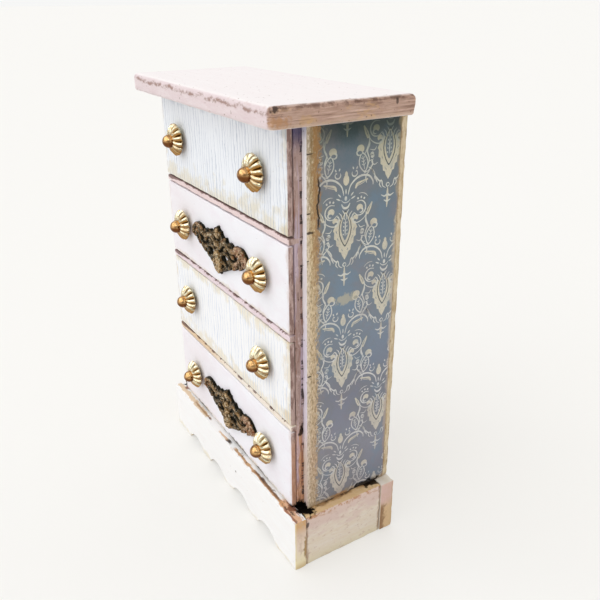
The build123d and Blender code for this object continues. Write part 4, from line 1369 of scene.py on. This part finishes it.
DOMES = (
    # middle, half sizes, turn in degrees, height
    ((0.0, 4.2), (0.85, 1.5), 0, 1.35),
    ((1.0, 3.9), (0.6, 1.3), -28, 1.15),
    ((1.9, 3.0), (0.55, 1.1), -55, 1.05),
    ((0.0, 1.7), (1.2, 0.9), 0, 1.5),
    ((0.0, -2.3), (1.65, 3.0), 0, 1.95),
    ((3.8, 1.4), (1.1, 0.6), 20, 1.1),
    ((6.9, 0.7), (1.2, 0.55), -20, 1.05),
    ((11.0, 2.0), (0.7, 0.6), 0, 1.2),
    ((8.6, 3.1), (0.9, 0.55), 25, 1.1),
    ((3.7, -3.1), (0.9, 0.5), 35, 1.0),
    ((7.2, -1.9), (0.8, 0.45), 30, 0.95),
    ((10.3, -0.9), (0.7, 0.45), 20, 0.9),
)


def away_from_path(xs, zs, path):
    """Least distance from each grid point to a polyline."""
    best = np.full(xs.shape, 1e9)
    for a, b in zip(path, path[1:]):
        run = b - a
        share = ((xs - a.x) * run.x + (zs - a.y) * run.y) / max(run.length_squared, 1e-9)
        share = np.clip(share, 0, 1)
        best = np.minimum(best, np.hypot(xs - a.x - share * run.x, zs - a.y - share * run.y))
    return best


def filigree_relief(xs, zs):
    """Height over the drawer front; nothing where it is below the plate."""
    side = np.abs(xs)
    relief = np.zeros(xs.shape)
    for path, half, height in SCROLLS:
        away = away_from_path(side, zs, smooth_path(path, 6))
        profile = np.sqrt(np.clip(1 - (away / half) ** 2, 0, 1))
        groove = 0.16 * np.exp(-((away / (half * 0.28)) ** 2))
        relief = np.maximum(relief, (0.45 + 0.55 * profile - groove) * height * (away < half))
    for (x, z), (across_r, up_r), turn, height in DOMES:
        angle = math.radians(turn)
        u = (side - x) * math.cos(angle) + (zs - z) * math.sin(angle)
        v = -(side - x) * math.sin(angle) + (zs - z) * math.cos(angle)
        away = np.hypot(u / across_r, v / up_r)
        profile = np.sqrt(np.clip(1 - away**2, 0, 1))
        veins = 0.12 * (0.5 + 0.5 * np.cos(v * 7.0 - np.abs(u) * 6.0)) * (away < 0.95)
        relief = np.maximum(relief, (0.4 + 0.6 * profile - veins) * height * (away < 1))
    return relief


def closed(filled, reach):
    """The filled cells with their narrow gaps filled too, as dirt fills the old metal's."""
    span = range(-reach, reach + 1)
    disc = [(i, j) for i in span for j in span if i * i + j * j <= reach * reach]
    grown = np.zeros_like(filled)
    for shift in disc:
        grown |= np.roll(filled, shift, (0, 1))
    kept = np.ones_like(filled)
    for shift in disc:
        kept &= np.roll(grown, shift, (0, 1))
    return kept


aged = Finish("aged_bronze", colour(164, 130, 84), 0.4, 0.8)
patina = fade(cloud(aged.mm, 0.8, 5, 0.72), 0.46, 0.54)
aged.lay(patina, colour(84, 66, 38), 0.9)
outwards = fade(calc("ABSOLUTE", aged.x), 4.0, 12.0, -0.1, 0.0)
rust = cloud(stretch(aged.mm, (1, 1.3, 1)), 0.9, 5, 0.72)
aged.lay(fade(calc("ADD", rust, outwards), 0.5, 0.6), colour(156, 92, 58), 0.7)
# dirt with painted shade: near black where the relief is low, a little less towards the right
deeper = fade(aged.x, 5.0, 10.5, 0.0, 0.3)
ragged = calc("ADD", fade(rust, 0.3, 0.7, -0.25, 0.25), deeper)
hollow = fade(calc("ADD", aged.gap["back"], ragged), 1.1, 0.65)
aged.lay(hollow, colour(22, 26, 18), 0.95)
# pale crests on the high parts: partly rubbed metal, partly painted highlight
high_up = fade(aged.gap["back"], 0.95, 1.3)
paler = fade(aged.x, 5.0, 10.5, -0.02, 0.12)
glimmer = calc("ADD", cloud(aged.mm, 1.5, 4, 0.72), paler)
crests = product(high_up, fade(glimmer, 0.46, 0.53))
aged.lay(crests, colour(240, 212, 168), 0.8)
# painted glints: small near-white specks on the higher parts
painted_glints = fade(cloud(aged.mm, 2.6, 4, 0.7), 0.57, 0.61)
aged.lay(product(painted_glints, fade(aged.gap["back"], 0.7, 1.0)), colour(255, 238, 214), 0.85)
to_right = product(fade(aged.x, 6.5, 9.5), fade(aged.gap["back"], 0.55, 0.95))
mixed = cloud(aged.mm, 1.7, 4, 0.72)
aged.lay(product(to_right, fade(mixed, 0.5, 0.42)), colour(232, 200, 170), 0.85)
aged.lay(product(to_right, fade(mixed, 0.52, 0.58)), colour(138, 76, 54), 0.8)
aged.raise_by(cloud(aged.mm, 2.8, 5, 0.75), 0.6)
aged_rough = fade(cloud(aged.mm, 1.6, 4, 0.6), 0.3, 0.7, 0.24, 0.55)
aged.tree.links.new(aged_rough, aged.shader.inputs["Roughness"])
aged_bronze = aged.done(0.9)


def grid_cell(point, low):
    """Column and row of a point of the grid."""
    return round((point.x - low.x) / GRID_STEP), round((point.z - low.z - GRID_FOOT) / GRID_STEP)


def stamping(relief, low, high, seed):
    """A pierced plate from a grid: its bare cells are cut out, and the rest is raised."""
    columns, rows = relief.shape
    mesh = bmesh.new()
    bmesh.ops.create_grid(mesh, x_segments=columns - 1, y_segments=rows - 1, size=0.5)
    for vertex in mesh.verts:
        right = (vertex.co.x + 0.5) * (columns - 1) * GRID_STEP
        up = (vertex.co.y + 0.5) * (rows - 1) * GRID_STEP
        vertex.co = (low.x + right, high.y, low.z + GRID_FOOT + up)
    bare = [
        face
        for face in mesh.faces
        if min(relief[grid_cell(corner.co, low)] for corner in face.verts) <= THINNEST
    ]
    bmesh.ops.delete(mesh, geom=bare, context="FACES")
    raised = bmesh.ops.extrude_face_region(mesh, geom=mesh.faces[:])
    for item in raised["geom"]:
        if isinstance(item, bmesh.types.BMVert):
            place = Vector((item.co.x, 0.0, item.co.z))
            rough = field.noise(place * 1.4 + Vector((seed, 0, 0))) * 0.12
            height = min(max(relief[grid_cell(item.co, low)] + rough, PLATE), high.y - low.y)
            slip = 0.025 * field.noise(place * 2.1)
            item.co += Vector((slip, -height, slip))
    bmesh.ops.recalc_face_normals(mesh, faces=mesh.faces[:])
    return mesh


for number in (2, 4):
    node = f"drawer_{number}_filigree"
    low, high = (to_mm(corner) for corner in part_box(node))
    middle_z = (low.z + high.z) / 2 - 0.15
    columns, rows = np.arange(low.x, high.x, GRID_STEP), np.arange(low.z + GRID_FOOT, high.z, GRID_STEP)
    xs, zs = np.meshgrid(columns, rows, indexing="ij")
    relief = filigree_relief(xs, zs - middle_z)
    relief = np.where(closed(relief > THINNEST, 4), np.maximum(relief, DIRT), relief)
    mesh = stamping(relief, low, high, number)
    note_gaps(mesh, low, high)
    make_piece(f"pierced_{node}", mesh, [aged_bronze], f"drawer_{number}", [node], 60)

# ---- camera --------------------------------------------------------------------------
# It stands above the chest and to its right, turned to take in the front and the right side.
AZIMUTH = math.radians(58.633)
ELEVATION = math.radians(24.492)
ROLL = math.radians(-0.436)
CAMERA_AT = Vector((0.12690, -0.06681, 0.11533))
CAMERA_LENS = 39.597

level = Vector((math.cos(AZIMUTH), math.sin(AZIMUTH), 0))
outwards = Vector((-math.sin(AZIMUTH), math.cos(AZIMUTH), 0))
forward = outwards * math.cos(ELEVATION) - Vector((0, 0, math.sin(ELEVATION)))
above = level.cross(forward)
across = level * math.cos(ROLL) + above * math.sin(ROLL)
upward = above * math.cos(ROLL) - level * math.sin(ROLL)
camera_data = bpy.data.cameras.new("camera")
camera_data.sensor_width = 36
camera_data.lens = CAMERA_LENS
camera_data.clip_start = 0.005
camera_data.clip_end = 100
camera = bpy.data.objects.new("camera", camera_data)
bpy.context.collection.objects.link(camera)
camera.matrix_world = Matrix.Translation(CAMERA_AT) @ Matrix((across, upward, -forward)).transposed().to_4x4()
bpy.context.scene.camera = camera

# ---- card, sky and lamps -------------------------------------------------------------
# A white card under the chest keeps a soft shadow. The sky is bright, but dark towards the
# camera and in a low band, as a studio is beyond its lamps.
floor_finish = Finish("floor_card", colour(248, 246, 243, 1.1), 0.9)
floor_mottle = cloud(floor_finish.mm, 0.02, 3)
floor_finish.lay(floor_mottle, colour(246, 243, 239, 1.1), 0.3)
floor_card = floor_finish.done()
card = floor_finish.tree
seen = put(card, "LightPath")
facing_card = calc("ADD", seen.outputs["Is Camera Ray"], seen.outputs["Is Glossy Ray"], clamp=True)
facing_card = calc("ADD", facing_card, seen.outputs["Is Transmission Ray"], clamp=True)
glow = put(card, "Emission", {"Color": colour(251, 248, 244), "Strength": 1.0})
half_glow = put(card, "MixShader", {0: calc("MULTIPLY", facing_card, 0.5)})
card.links.new(floor_finish.shader.outputs[0], half_glow.inputs[1])
card.links.new(glow.outputs[0], half_glow.inputs[2])
card.links.new(half_glow.outputs[0], card.nodes["Material Output"].inputs["Surface"])
mesh = bmesh.new()
bmesh.ops.create_grid(mesh, x_segments=1, y_segments=1, size=20)
data = bpy.data.meshes.new("floor")
mesh.to_mesh(data)
mesh.free()
data.materials.append(floor_card)
floor = bpy.data.objects.new("floor", data)
bpy.context.collection.objects.link(floor)

world = bpy.data.worlds.new("studio")
bpy.context.scene.world = world
world.use_nodes = True
sky = world.node_tree
direction = put(sky, "TexCoord").outputs["Generated"]
toward_camera = {0: direction, 1: (0.945, -0.103, 0.308)}
toward = put(sky, "VectorMath", toward_camera, operation="DOT_PRODUCT").outputs["Value"]
strength = fade(toward, 0.2, 0.85, 1.2, 0.6)
_, _, rise = axes(direction)
band = product(fade(rise, 0.04, 0.12), fade(rise, 0.42, 0.30))
strength = product(strength, calc("SUBTRACT", 1.0, calc("MULTIPLY", band, 0.8)))
sky.nodes["Background"].inputs["Color"].default_value = (1.0, 0.998, 0.994, 1)
sky.links.new(strength, sky.nodes["Background"].inputs["Strength"])
# seen directly it is the card's own white, and reflections take in some of that white
looked_at = put(sky, "LightPath").outputs
reflected = calc("MAXIMUM", looked_at["Is Glossy Ray"], looked_at["Is Transmission Ray"])
whitened = calc("MAXIMUM", looked_at["Is Camera Ray"], calc("MULTIPLY", reflected, 0.3))
white_sky = put(sky, "Background", {"Color": colour(250, 249, 246), "Strength": 1.0})
seen_sky = put(sky, "MixShader", {0: whitened})
sky.links.new(sky.nodes["Background"].outputs[0], seen_sky.inputs[1])
sky.links.new(white_sky.outputs[0], seen_sky.inputs[2])
sky.links.new(seen_sky.outputs[0], sky.nodes["World Output"].inputs["Surface"])

# A broad window at the front left, and two small lamps that only glint on the gilding.
for name, energy, spread, shade, heading in (
    ("window", 0.95, 80, (1.0, 0.985, 0.965), (-0.04, 0.72, -0.69)),
    ("glint_near", 0.1, 12, (1.0, 0.99, 0.97), (-0.72, 0.32, -0.69)),
    ("glint_left", 0.05, 6, (1.0, 0.99, 0.97), (0.46, 0.53, -0.71)),
):
    sun_data = bpy.data.lights.new(name, "SUN")
    sun_data.energy = energy
    sun_data.angle = math.radians(spread)
    sun_data.color = shade
    sun = bpy.data.objects.new(name, sun_data)
    sun.rotation_mode = "QUATERNION"
    sun.rotation_quaternion = Vector(heading).to_track_quat("-Z", "Y")
    bpy.context.collection.objects.link(sun)

bpy.context.scene.view_settings.view_transform = "Standard"
